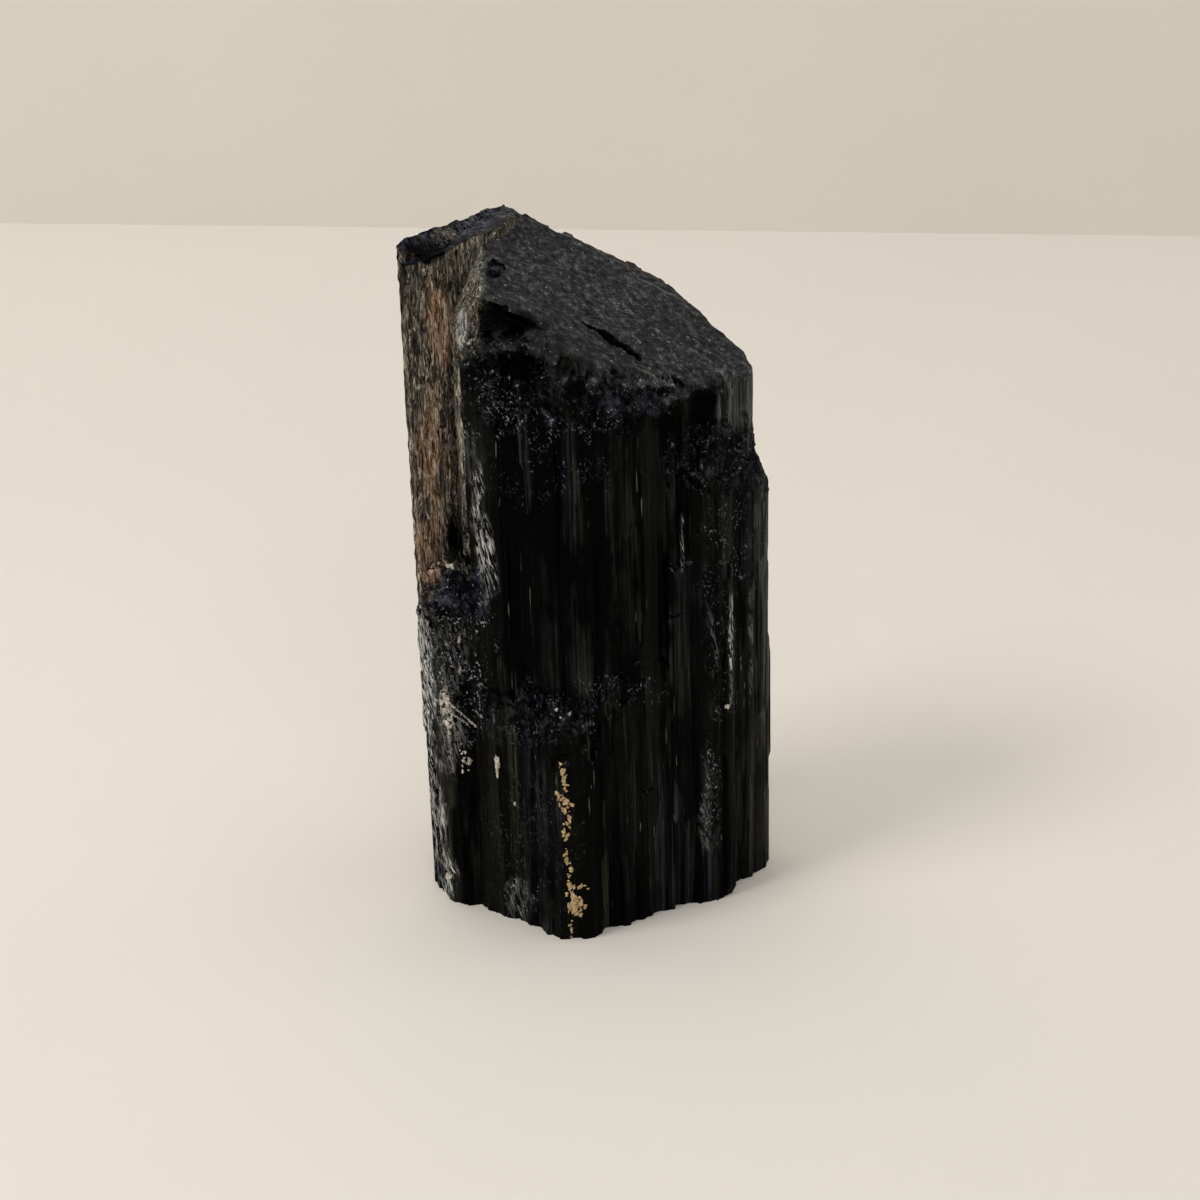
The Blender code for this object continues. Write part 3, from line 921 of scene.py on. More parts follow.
# Each kind's ovals in the photograph's frame: middle, half sizes, tilt in degrees and strength.
PATCHES: dict[Skin, tuple[Patch, ...]] = {
    Skin.RUST: (
        Patch(438, 322, 12, 42), Patch(431, 450, 14, 66, strength=0.55),
        Patch(431, 560, 14, 38, strength=0.7),
    ),
    # Pale fibres; the two thin ovals along the slab's crest are a painted edge highlight.
    Skin.PALE_AND_HIGHLIGHT: (
        Patch(461, 385, 3, 70, strength=1.0), Patch(466, 262, 10, 30, tilt=10, strength=0.25),
        Patch(434, 256, 34, 3, tilt=-20, strength=0.8), Patch(480, 229, 26, 3, tilt=-50, strength=0.9),
    ),
    # Silvery fibres and mica on the left; the thin lines on the right bulge and at the right edge are
    # painted highlights and reflections.
    Skin.SILVER_AND_HIGHLIGHT: (
        Patch(461, 325, 5, 20, strength=0.8), Patch(478, 262, 10, 30, tilt=6, strength=0.2),
        Patch(481, 530, 10, 58, tilt=-9, strength=0.85), Patch(423, 680, 9, 84, tilt=-4),
        Patch(436, 800, 9, 66, tilt=-7, strength=0.8), Patch(452, 655, 16, 40, strength=0.14),
        Patch(452, 735, 12, 30, strength=0.25), Patch(518, 900, 12, 20, strength=0.15),
        Patch(467, 226, 36, 9, tilt=-24, strength=0.14), Patch(449, 880, 9, 18, strength=0.8),
        Patch(731, 640, 2.5, 46, strength=0.9), Patch(714, 640, 3, 30, tilt=-10, strength=0.22),
        Patch(751, 650, 2, 60, strength=0.12), Patch(682, 540, 1.5, 26, strength=0.6),
        Patch(706, 815, 5, 40, strength=0.15),
    ),
    # Painted glints on the broken rims, the ledges and the feet.
    Skin.PAINTED_GLINT: (
        Patch(500, 385, 44, 48, strength=0.95), Patch(468, 400, 16, 60, strength=0.5),
        Patch(575, 410, 50, 30, strength=0.5), Patch(640, 392, 42, 18, strength=0.35),
        Patch(540, 470, 60, 40, strength=0.14), Patch(725, 455, 46, 38, strength=0.45),
        Patch(455, 650, 34, 90, strength=0.8), Patch(620, 690, 46, 16, strength=0.4),
        Patch(722, 640, 14, 90, strength=0.2), Patch(728, 540, 26, 60, strength=0.3),
        Patch(712, 800, 10, 44, strength=0.55), Patch(518, 900, 16, 20, strength=0.9),
        Patch(530, 720, 50, 26, strength=0.22), Patch(530, 850, 44, 80, strength=0.14),
        Patch(456, 588, 34, 24, strength=0.7),
    ),
    Skin.BREAK: (
        Patch(500, 380, 44, 50), Patch(590, 400, 70, 28, strength=0.8), Patch(722, 455, 42, 36),
        Patch(455, 590, 36, 26, strength=0.8), Patch(452, 690, 26, 80, strength=0.45),
        Patch(535, 722, 48, 30, strength=0.3), Patch(540, 830, 34, 90, strength=0.2),
        Patch(714, 806, 12, 42, strength=0.25), Patch(714, 620, 14, 30, strength=0.3),
    ),
    # Painted blue sheen on lit tops and ledges, and the blue-grey of the small crystal in the pit.
    Skin.BLUE: (
        Patch(467, 224, 38, 12, tilt=-24), Patch(494, 271, 6, 8), Patch(457, 588, 34, 24, strength=0.9),
        Patch(532, 720, 46, 24, strength=0.14), Patch(705, 610, 6, 40, strength=0.2),
        Patch(505, 395, 40, 32, strength=0.18), Patch(620, 402, 48, 14, strength=0.55),
        Patch(548, 405, 9, 24, tilt=-14, strength=0.4), Patch(735, 455, 34, 32, strength=0.3),
    ),
    Skin.CREAM: (
        Patch(446, 708, 5, 20, tilt=-8),
    ),
    Skin.END_FACE: (
        Patch(508, 345, 38, 6), Patch(467, 224, 38, 12, tilt=-24, strength=0.6),
        Patch(553, 382, 5, 28, tilt=-14, strength=0.8), Patch(596, 394, 5, 20, tilt=-10, strength=0.7),
        Patch(648, 402, 14, 10, tilt=20, strength=0.6),
    ),
    # Painted shade in the hollows, the pit, the wedge behind the rim, the recess and the cavity; the last
    # two ovals darken the stone of the foot and the front.
    Skin.SHADE_AND_JET: (
        Patch(424, 251, 38, 11, tilt=-6), Patch(402, 282, 4, 46, strength=0.9),
        Patch(506, 323, 37, 15, strength=0.88), Patch(454, 541, 8, 24),
        Patch(518, 366, 30, 12, strength=0.9), Patch(576, 392, 9, 16, strength=0.9),
        Patch(622, 377, 9, 3, strength=0.9), Patch(704, 402, 14, 22),
        Patch(530, 860, 40, 76, strength=0.35), Patch(520, 560, 60, 110, strength=0.25),
    ),
    # Painted sheen: grey streaks in place of reflections on the prism, the right edge and the glossy
    # panels.
    Skin.PAINTED_SHEEN: (
        Patch(470, 460, 5, 42, strength=0.28), Patch(718, 412, 3, 20),
        Patch(739, 400, 15, 46, strength=0.9), Patch(681, 645, 12, 70, strength=0.13),
        Patch(762, 600, 9, 130, strength=0.85), Patch(640, 480, 34, 60, strength=0.06),
        Patch(650, 780, 34, 90, strength=0.05), Patch(484, 830, 14, 70, strength=0.05),
        Patch(755, 820, 12, 110, strength=0.2),
    ),
}


@dataclass(frozen=True)
class SkinMasks:
    """How much each place has of each kind of surface, from the columns and the patches.

    A span is read along x, y or z in millimetres, or along a part of the outward direction, which
    is 1 where the surface faces that way.
    """

    patch_y: Span = (12.0, 9.0)
    patch_upward: Span = (0.4, 0.6)
    patch_backward: Span = (0.35, -0.05)
    # How far over the end face's plane, how far to the right and how far upward it begins.
    end_face_over: Span = (-4.6, -2.2)
    end_face_x: Span = (-16.0, -13.5)
    end_face_upward: Span = (0.25, 0.55)
    # The fibrous face is near the slab's front and on the left of the main column.
    fibres_near: Span = (1.2, 0.6)
    fibres_x: Span = (-13.0, -13.8)
    fibres_y: Span = (-6.2, -4.5)
    fibres_z: Span = (46.0, 54.0)
    fibres_upward: Span = (0.75, 0.55)
    fibres_backward: Span = (0.75, 0.4)
    fibres_behind: float = 9.0
    flank_x: Span = (-13.2, -14.6)
    flank_z: Span = (86.5, 89.5)
    flank_upward: Span = (0.93, 0.8)
    # Where the inside of the slit is painted in shade.
    slit_near: Span = (1.9, 1.3)
    slit_over: Span = (-0.12, -0.45)
    slit_above: float = 70.0
    # Up-facing ledges get broken stone, painted glints and a painted lit blue sheen; the back wedge's top
    # gets a painted blue sheen.
    ledge_upward: Span = (0.35, 0.6)
    ledge_below: float = 94.0
    ledge_painted_glint: float = 0.35
    ledge_lit_sheen: float = 0.22
    back_top_upward: Span = (0.5, 0.7)
    back_top_x: float = -9.0
    back_top_sheen: float = 0.85
    # The noise's wavelengths, and how far it shifts the masks' edges, in millimetres.
    ragged_size: tuple[float, float, float] = (1.6, 1.6, 3.0)
    end_face_ragged: float = 0.9
    flank_ragged: Span = (0.4, 0.8)
    fibres_ragged: float = 4.0

    def patched(self, points: np.ndarray, outward: np.ndarray, ragged: np.ndarray) -> Masks:
        """What the patches say, which fades round the back except where the surface looks up.

        Args:
            points: upright millimetres.
            outward: the direction of the surface at each point.
            ragged: noise that shifts the edges.

        Returns:
            A mask for each kind.
        """
        pixels = VIEW.project(leaned(points))
        reach = np.maximum(smooth_step(*self.patch_y, points[:, 1]),
                           smooth_step(*self.patch_upward, outward[:, 2]))
        front = smooth_step(*self.patch_backward, outward[:, 1]) * reach
        found = {skin: np.zeros(len(points)) for skin in Skin}
        for skin, patches in PATCHES.items():
            for patch in patches:
                found[skin] = np.maximum(found[skin], patch.cover(pixels, ragged) * front)
        return found

    def end_face(self, points: np.ndarray, outward: np.ndarray, ragged: np.ndarray) -> np.ndarray:
        """The dull end face.

        Args:
            points: upright millimetres.
            outward: the direction of the surface at each point.
            ragged: noise that shifts the edges.

        Returns:
            A mask: near the end face's plane or over it, facing up, and right of the slab.
        """
        x, y, z = points.T
        over = z - END_FACE.plane(x, y) + self.end_face_ragged * ragged
        return (smooth_step(*self.end_face_over, over)
                * smooth_step(*self.end_face_upward, outward[:, 2]) * smooth_step(*self.end_face_x, x))

    def fibres(self, points: np.ndarray, outward: np.ndarray, ragged: np.ndarray) -> np.ndarray:
        """The fibrous face.

        Args:
            points: upright millimetres.
            outward: the direction of the surface at each point.
            ragged: noise that shifts the edges.

        Returns:
            A mask: the slab's front and the left side of the main column above the foot, and the
            grey flank below the peak whichever way it faces.
        """
        x, y, z = points.T
        before = y < self.fibres_behind
        side = smooth_step(*self.fibres_x, x) * smooth_step(*self.fibres_y, y) * before
        near = np.maximum(smooth_step(*self.fibres_near, line_distance(SLAB_FRONT, points[:, :2])), side)
        facing = smooth_step(*self.fibres_upward, outward[:, 2])
        facing = facing * smooth_step(*self.fibres_backward, outward[:, 1])
        high = smooth_step(*self.fibres_z, z + self.fibres_ragged * ragged)
        aside, up = self.flank_ragged
        flank = smooth_step(*self.flank_x, x + aside * ragged) * before
        flank = flank * smooth_step(*self.flank_z, z + up * ragged)
        flank = flank * smooth_step(*self.flank_upward, outward[:, 2])
        return np.maximum(near * facing * high, flank)

    def slit(self, points: np.ndarray) -> np.ndarray:
        """The painted shade inside the slit.

        Args:
            points: upright millimetres.

        Returns:
            A mask of painted shade: close to the slit's line and below the end face.
        """
        x, y, z = points.T
        inside = smooth_step(*self.slit_near, line_distance(SLIT, points[:, :2]))
        return inside * smooth_step(*self.slit_over, z - END_FACE.plane(x, y)) * (z > self.slit_above)

    def masks(self, points: np.ndarray, outward: np.ndarray) -> Masks:
        """All the masks.

        Args:
            points: upright millimetres.
            outward: the direction of the surface at each point.

        Returns:
            A mask for each kind, from 0 to 1. What faces up and is neither end face nor fibres is a
            broken ledge, with painted glints and a painted lit blue sheen, or the top of the back wedge,
            with a painted blue sheen. The inside of the slit is painted in shade.
        """
        ragged = fractal(points / np.array(self.ragged_size), 501, 3, 0.6)
        found = self.patched(points, outward, ragged)
        x, _, z = points.T
        # Up-facing ledges, which get painted glints and a painted lit blue sheen besides broken stone.
        ledge = smooth_step(*self.ledge_upward, outward[:, 2]) * (z < self.ledge_below)
        back_top = smooth_step(*self.back_top_upward, outward[:, 2])
        back_top = back_top * (x < self.back_top_x) * (z > self.ledge_below)
        found[Skin.END_FACE] = np.maximum(found[Skin.END_FACE], self.end_face(points, outward, ragged))
        found[Skin.FIBRES] = self.fibres(points, outward, ragged)
        ledge *= (1.0 - found[Skin.END_FACE]) * (1.0 - found[Skin.FIBRES])
        back_top *= 1.0 - found[Skin.END_FACE]
        for skin, cover in (
                (Skin.SHADE_AND_JET, self.slit(points)), (Skin.BREAK, ledge), (Skin.PAINTED_GLINT, self.ledge_painted_glint * ledge),
                (Skin.BLUE, self.ledge_lit_sheen * ledge), (Skin.BLUE, self.back_top_sheen * back_top)):
            found[skin] = np.maximum(found[skin], cover)
        for skin in (Skin.BREAK, Skin.FIBRES):
            found[skin] *= 1.0 - back_top
        return found


@dataclass(frozen=True)
class CrystalSurface:
    """The crystal's fine mesh, made from the columns, with a mask for each kind of surface."""

    name: str = "crystal_surface"
    skins: SkinMasks = SkinMasks()
    facet: float = 1.4
    crumb: float = 0.9
    # How far broken stone and fibres are pushed in and out, and the rest of the surface.
    broken_depth: float = 0.75
    fibre_depth: float = 0.14
    plain_depth: float = 0.02
    crease_degrees: float = 38.0

    def join(self) -> bpy.types.Mesh:
        """Builds the columns, joins them and cuts the pits and the base.

        Returns:
            The mesh, in upright millimetres.
        """
        tools: list[bpy.types.Object] = []
        columns = []
        for seed, column in enumerate(COLUMNS, start=1):
            walls = column.walls(17 * seed)
            topper = column.topper(29 * seed)
            combine(walls, topper, "DIFFERENCE")
            columns.append(walls)
            tools += [walls, topper]
        bundle = columns[0]
        for walls in columns[1:]:
            combine(bundle, walls, "UNION")
        pits = (*PITS, *slit_hollows())
        steps = (("UNION", LUMPS), ("DIFFERENCE", pits), ("UNION", PIT_CRYSTALS))
        for operation, stones in steps:
            for seed, stone in enumerate(stones, start=1):
                shape = stone.shape(41 * seed)
                tools.append(shape)
                combine(bundle, shape, operation)
        floor = self.floor_block()
        tools.append(floor)
        combine(bundle, floor, "DIFFERENCE")
        mesh = settled(bundle)
        mesh.materials.clear()
        keep_largest(mesh)
        discard(tools)
        return mesh

    @staticmethod
    def floor_block() -> bpy.types.Object:
        """The block that cuts the base flat.

        Returns:
            A box from well below the base up to zero.
        """
        half, deep = 60.0, 20.0
        sheet = np.array([[-half, -half], [half, -half], [half, half], [-half, half]])
        points = np.vstack([
            np.column_stack([sheet, np.full(4, -deep)]),
            np.column_stack([sheet, np.zeros(4)]),
        ])
        faces = [[3, 2, 1, 0], [4, 5, 6, 7], [0, 1, 5, 4], [1, 2, 6, 5], [2, 3, 7, 6], [3, 0, 4, 7]]
        return solid("flat_base", points, faces)

    @staticmethod
    def normals(mesh: bpy.types.Mesh) -> np.ndarray:
        """The mesh's outward directions.

        Args:
            mesh: a mesh.

        Returns:
            The direction at each point, one row each.
        """
        flat = np.empty(len(mesh.vertices) * 3, np.float32)
        mesh.vertex_normals.foreach_get("vector", flat)
        return flat.reshape(-1, 3).astype(float)

    def roughen(self, points: np.ndarray, outward: np.ndarray) -> np.ndarray:
        """Pushes the points in and out along their normals where the surface is broken.

        Args:
            points: upright millimetres.
            outward: the direction of the surface at each point.

        Returns:
            The pushed points. The push is facets with noise on them, times the masks, and fades out
            towards the flat base.
        """
        masks = self.skins.masks(points, outward)
        strength = self.broken_depth * masks[Skin.BREAK] + self.fibre_depth * masks[Skin.FIBRES]
        strength += self.plain_depth
        relief = 0.7 * shards(points / self.facet, 601) + 0.5 * fractal(points / self.crumb, 611, 2, 0.6)
        push = strength * relief * smooth_step(0.0, 0.6, points[:, 2])
        return points + outward * push[:, None]

    def build(self) -> bpy.types.Object:
        """Makes the crystal's object with its masks as attributes.

        Returns:
            The object, in metres, with its sharp edges marked.
        """
        mesh = self.join()
        points = self.roughen(mesh_points(mesh), self.normals(mesh))
        mesh.vertices.foreach_set("co", points.astype(np.float32).ravel())
        mesh.update()
        masks = self.skins.masks(points, self.normals(mesh))
        mesh.vertices.foreach_set("co", leaned(points).astype(np.float32).ravel())
        for skin, cover in masks.items():
            attribute = mesh.attributes.new(skin.value, "FLOAT", "POINT")
            attribute.data.foreach_set("value", cover.astype(np.float32))
        mesh.update()
        mesh.shade_smooth()
        mesh.set_sharp_from_angle(angle=math.radians(self.crease_degrees))
        log.info("%s has %d triangles", self.name, len(mesh.loop_triangles))
        return linked(self.name, mesh)


Socket = bpy.types.NodeSocket
Turn = tuple[float, float, float]
Given = Union[float, Colour, Socket]
Ramp = tuple[tuple[float, Colour], ...]
STRAIGHT: Turn = (0.0, 0.0, 0.0)


class NodeTree:
    """A material's nodes, with short calls for the ones used here."""

    def __init__(self, name: str) -> None:
        """Makes an empty material with its output.

        Args:
            name: the material's name.
        """
        self.material = bpy.data.materials.new(name)
        self.material.use_nodes = True
        self.tree = self.material.node_tree
        self.tree.nodes.clear()
        self.output = self.node("ShaderNodeOutputMaterial")
        self.place = self.node("ShaderNodeTexCoord").outputs["Object"]

    def put(self, given: Given, socket: Socket) -> None:
        """Joins an output to an input, or sets the input.

        Args:
            given: another node's output, a number or a colour.
            socket: the input.
        """
        if isinstance(given, bpy.types.NodeSocket):
            self.tree.links.new(given, socket)
        else:
            socket.default_value = (*given, 1.0) if socket.type == "RGBA" else given

    def node(self, kind: str, **given: Given) -> bpy.types.Node:
        """A new node with its named inputs joined or set.

        Args:
            kind: the node's type.
            given: what each input gets. An underscore stands for a space in its name.

        Returns:
            The node.
        """
        made = self.tree.nodes.new(kind)
        for name, value in given.items():
            self.put(value, made.inputs[name.replace("_", " ")])
        return made

    def mapped(self, scale: Turn, turn: Turn = STRAIGHT) -> Socket:
        """The Object coordinates turned and then scaled.

        Args:
            scale: features per metre along each turned axis.
            turn: degrees about X, Y and Z in turn.

        Returns:
            The coordinates' output.
        """
        angles = tuple(math.radians(angle) for angle in turn)
        turned = self.node("ShaderNodeMapping", Vector=self.place, Rotation=angles).outputs["Vector"]
        return self.node("ShaderNodeMapping", Vector=turned, Scale=scale).outputs["Vector"]

    def noise(self, vector: Socket, detail: float = 3.0, rough: float = 0.55,
              warp: float = 0.0) -> Socket:
        """Noise from 0 to 1.

        Args:
            vector: the coordinates.
            detail: how many finer copies are added.
            rough: how strong the finer copies are.
            warp: how far the pattern is pulled about.

        Returns:
            The noise's output.
        """
        made = self.node("ShaderNodeTexNoise", Vector=vector, Scale=1.0, Detail=detail, Roughness=rough,
                         Distortion=warp)
        return made.outputs["Fac"]

    def facets(self, vector: Socket) -> list[Socket]:
        """Numbers that stay the same all over each Voronoi cell.

        Args:
            vector: the coordinates.

        Returns:
            Three outputs of random numbers from 0 to 1.
        """
        cells = self.node("ShaderNodeTexVoronoi", Vector=vector, Scale=1.0)
        parts = self.node("ShaderNodeSeparateColor", Color=cells.outputs["Color"])
        return [parts.outputs[name] for name in ("Red", "Green", "Blue")]

    def mask(self, skin: Skin) -> Socket:
        """A kind of surface's attribute.

        Args:
            skin: the kind.

        Returns:
            The mask's output.
        """
        made = self.node("ShaderNodeAttribute")
        made.attribute_name = skin.value
        return made.outputs["Fac"]

    def remap(self, value: Socket, low: float, high: float, to_low: float = 0.0,
              to_high: float = 1.0) -> Socket:
        """Moves a range onto another one, clamped.

        Args:
            value: what is moved.
            low: where the range begins.
            high: where it ends.
            to_low: where it begins afterwards.
            to_high: where it ends afterwards.

        Returns:
            The moved value's output.
        """
        made = self.node("ShaderNodeMapRange", Value=value, From_Min=low, From_Max=high, To_Min=to_low,
                         To_Max=to_high)
        return made.outputs["Result"]

    def maths(self, operation: str, first: Given, second: Given) -> Socket:
        """One Math node.

        Args:
            operation: what it does.
            first: its first value.
            second: its second value.

        Returns:
            The result's output.
        """
        made = self.node("ShaderNodeMath")
        made.operation = operation
        self.put(first, made.inputs[0])
        self.put(second, made.inputs[1])
        return made.outputs["Value"]

    def product(self, *values: Given) -> Socket:
        """Several values multiplied.

        Args:
            values: outputs or numbers.

        Returns:
            The product's output.
        """
        total = values[0]
        for value in values[1:]:
            total = self.maths("MULTIPLY", total, value)
        return total

    def ramp(self, value: Socket, stops: Ramp) -> Socket:
        """A colour ramp.

        Args:
            value: where on the ramp.
            stops: its colours, each with its place from 0 to 1.

        Returns:
            The colour's output.
        """
        made = self.node("ShaderNodeValToRGB", Fac=value)
        elements = made.color_ramp.elements
        while len(elements) < len(stops):
            elements.new(0.5)
        for element, (position, colour) in zip(elements, stops):
            element.position = position
            element.color = (*colour, 1.0)
        return made.outputs["Color"]

    def mixed(self, kind: str, share: Given, first: Given, second: Given) -> Socket:
        """A Mix node, whose sockets stand at other places for colours than for numbers.

        Args:
            kind: RGBA or FLOAT.
            share: how much of the second there is.
            first: the first colour or number.
            second: the second one.

        Returns:
            The blend's output.
        """
        made = self.node("ShaderNodeMix")
        made.data_type = kind
        places, result = {"RGBA": ((0, 6, 7), 2), "FLOAT": ((0, 2, 3), 0)}[kind]
        for given, place in zip((share, first, second), places):
            self.put(given, made.inputs[place])
        return made.outputs[result]

    def mix(self, share: Given, first: Given, second: Given) -> Socket:
        """A blend of two colours, with the share of the second one first."""
        return self.mixed("RGBA", share, first, second)

    def blend(self, share: Given, first: Given, second: Given) -> Socket:
        """A blend of two numbers, with the share of the second one first."""
        return self.mixed("FLOAT", share, first, second)

    def bump(self, height: Socket, distance: float, strength: Given = 1.0,
             under: Optional[Socket] = None) -> Socket:
        """A bump from a height.

        Args:
            height: the height, from 0 to 1.
            distance: how many metres the height's range stands for.
            strength: how much of it counts.
            under: another bump that it lies on.

        Returns:
            The normal's output.
        """
        made = self.node("ShaderNodeBump", Distance=distance, Strength=strength, Height=height)
        if under is not None:
            self.put(under, made.inputs["Normal"])
        return made.outputs["Normal"]

    def principled(self, colour: Given, roughness: Given, normal: Optional[Socket] = None,
                   specular: float = 0.5) -> None:
        """The Principled shader, joined to the output.

        Args:
            colour: its base colour.
            roughness: its roughness.
            normal: a bump's output.
            specular: its specular level, which is set on its own socket.
        """
        made = self.node("ShaderNodeBsdfPrincipled", Base_Color=colour, Roughness=roughness,
                         Specular_IOR_Level=specular)
        if normal is not None:
            self.put(normal, made.inputs["Normal"])
        self.put(made.outputs["BSDF"], self.output.inputs["Surface"])


@dataclass(frozen=True)
class TourmalineFinish:
    """The black crystal's finish: glossy striae, a dull end face, brown fibres and blue breaks, with
    painted glints, painted sheen, painted highlights, painted lit tops and painted shade in hollows.
    """

    black: Colour = (0.0006, 0.0006, 0.0007)
    # Olive and steely strips: the stone's own tone, partly a painted reflection of each strip's tilt.
    olive: Colour = (0.0400, 0.0400, 0.0270)
    steel: Colour = (0.0290, 0.0360, 0.0420)
    # Painted sheen: the grey of reflections on glossy walls.
    painted_sheen: Colour = (0.200, 0.203, 0.190)
    charcoal: Colour = (0.0150, 0.0150, 0.0160)
    ash: Colour = (0.056, 0.055, 0.062)
    scratch: Colour = (0.30, 0.28, 0.25)
    navy: Colour = (0.0030, 0.0040, 0.0095)
    # Painted lit colour: the blue-grey of ledge tops and facets that catch the light.
    lit_slate: Colour = (0.080, 0.086, 0.118)
    # Painted glints: pale specks in place of highlights on small facets.
    painted_glint: Colour = (0.56, 0.59, 0.64)
    # Silvery fibres, and painted highlights along edges.
    silver_and_highlight: Colour = (0.95, 0.94, 0.91)
    cream: Colour = (0.80, 0.74, 0.60)
    specular: float = 0.02
    # Turns that bring the crystal's axis, the end face and the silvery fibres in line with the axes.
    upright: Turn = (-0.8, 1.43, 0.0)
    end_slope: Turn = (-15.75, -24.5, 6.7)
    slant: Turn = (0.0, 15.0, 0.0)
    tumbled: Turn = (15.0, 25.0, 10.0)
    chipped: Turn = (0.0, 40.0, 0.0)
    # Features per metre along each turned axis.
    strip_scale: Turn = (850.0, 850.0, 26.0)
    hair_scale: Turn = (2600.0, 2600.0, 45.0)
    cloud_scale: Turn = (150.0, 150.0, 50.0)
    needle_scale: Turn = (6600.0, 6600.0, 460.0)
    slab_scale: Turn = (340.0, 340.0, 13.0)
    grit_scale: Turn = (1000.0, 1000.0, 1000.0)
    slow_scale: Turn = (110.0, 260.0, 200.0)
    dot_scale: Turn = (3300.0, 3300.0, 3300.0)
    crumb_scale: Turn = (620.0, 620.0, 470.0)
    spark_scale: Turn = (2900.0, 2900.0, 1900.0)
    cluster_scale: Turn = (430.0, 430.0, 300.0)
    chip_scale: Turn = (1000.0, 1000.0, 760.0)
    strand_scale: Turn = (2300.0, 2300.0, 400.0)
    drift_scale: Turn = (420.0, 420.0, 60.0)
    flake_scale: Turn = (4400.0, 4400.0, 560.0)
    silver_scale: Turn = (2700.0, 2700.0, 300.0)
    crust_scale: Turn = (2300.0, 2300.0, 1500.0)
    # The end face's scratches: their swing in degrees, features per metre and lowest noise.
    scratches: tuple[Turn, ...] = ((0.0, 55.0, 0.60), (38.0, 110.0, 0.64), (-30.0, 110.0, 0.65))
    end_ramp: Ramp = (
        (0.37, (0.009, 0.009, 0.0098)), (0.49, (0.032, 0.032, 0.034)),
        (0.58, (0.073, 0.073, 0.0765)), (0.67, (0.27, 0.265, 0.26)),
    )
    plain_ramp: Ramp = (
        (0.38, (0.008, 0.008, 0.008)), (0.45, (0.058, 0.048, 0.037)),
        (0.51, (0.132, 0.114, 0.089)), (0.57, (0.44, 0.385, 0.30)), (0.62, (0.97, 0.91, 0.78)),
    )
    rusty_ramp: Ramp = (
        (0.38, (0.034, 0.022, 0.015)), (0.45, (0.31, 0.170, 0.094)),
        (0.51, (0.79, 0.470, 0.275)), (0.60, (0.97, 0.81, 0.62)),
    )
    # Pale fibres, and the painted highlight along the slab's crest.
    pale_and_highlight_ramp: Ramp = (
        (0.38, (0.030, 0.028, 0.024)), (0.47, (0.24, 0.215, 0.165)), (0.56, (0.92, 0.85, 0.68)),
    )
    # How rough each kind of surface is.
    dullness: tuple[tuple[Skin, float], ...] = (
        (Skin.END_FACE, 0.60), (Skin.BREAK, 0.36), (Skin.FIBRES, 0.70), (Skin.SHADE_AND_JET, 0.24),
    )

    def material(self) -> bpy.types.Material:
        """Builds the material from its masks.

        Returns:
            The material.
        """
        nodes = NodeTree("tourmaline")
        strips = nodes.facets(nodes.mapped(self.strip_scale, self.upright))
        hair = nodes.noise(nodes.mapped(self.hair_scale, self.upright), 3.0, 0.65)
        crumbs = nodes.noise(nodes.mapped(self.crumb_scale, self.tumbled), 6.0, 0.72, 0.8)
        grit = nodes.noise(nodes.mapped(self.grit_scale), 7.0, 0.78)
        strands = nodes.noise(nodes.mapped(self.strand_scale, self.upright), 6.0, 0.74, 1.3)
        colour = self.walls(nodes, strips, hair)
        colour = self.end_face(nodes, colour, grit)
        colour = self.broken(nodes, colour, crumbs)
        colour = self.fibres(nodes, colour, strands)
        # Painted shade: the hollows go black, and the foot and front darker.
        colour = nodes.mix(nodes.mask(Skin.SHADE_AND_JET), colour, self.black)
        colour = self.flecks(nodes, colour)
        rough = nodes.remap(strips[2], 0.0, 1.0, 0.18, 0.42)
        for skin, value in self.dullness:
            rough = nodes.blend(nodes.mask(skin), rough, value)
        normal = self.relief(nodes, strips, hair, crumbs, grit, strands)
        nodes.principled(colour, rough, normal, self.specular)
        return nodes.material

    @staticmethod
    def relief(nodes: NodeTree, strips: list[Socket], hair: Socket, crumbs: Socket, grit: Socket,
               strands: Socket) -> Socket:
        """The fine relief, one bump over another.

        Args:
            nodes: the material's nodes.
            strips: random numbers for each strip of the walls.
            hair: the walls' finest striae.
            crumbs: the broken stone's crumbs.
            grit: the end face's grit.
            strands: the fibrous face's strands.

        Returns:
            The normal's output.
        """
        walls = nodes.maths("SUBTRACT", 1.0, nodes.mask(Skin.END_FACE))
        striae = nodes.maths("ADD", nodes.product(strips[0], 0.5), hair)
        normal = nodes.bump(striae, 0.0002, walls)
        normal = nodes.bump(grit, 0.0004, nodes.mask(Skin.END_FACE), normal)
        normal = nodes.bump(crumbs, 0.0013, nodes.mask(Skin.BREAK), normal)
        return nodes.bump(strands, 0.0006, nodes.mask(Skin.FIBRES), normal)

    def walls(self, nodes: NodeTree, strips: list[Socket], hair: Socket) -> Socket:
        """The striated walls: black, with olive and steely strips in cloudy stretches, and needles. The
        strips are the stone's own tone, partly a painted reflection of each strip's tilt.

        Args:
            nodes: the material's nodes.
            strips: random numbers for each strip.
            hair: the finest striae.

        Returns:
            The colour's output.
        """
        clouds = nodes.noise(nodes.mapped(self.cloud_scale, self.upright), 4.0, 0.6)
        # Strips of olive or steely tone, partly a painted reflection of each strip's tilt.
        tint = nodes.mix(nodes.remap(strips[1], 0.3, 0.7), self.olive, self.steel)
        strip_tone_and_reflection = nodes.product(nodes.remap(strips[0], 0.50, 0.95), nodes.remap(clouds, 0.42, 0.57),
                            nodes.remap(hair, 0.40, 0.62, 0.08, 1.0))
        colour = nodes.mix(strip_tone_and_reflection, self.black, tint)
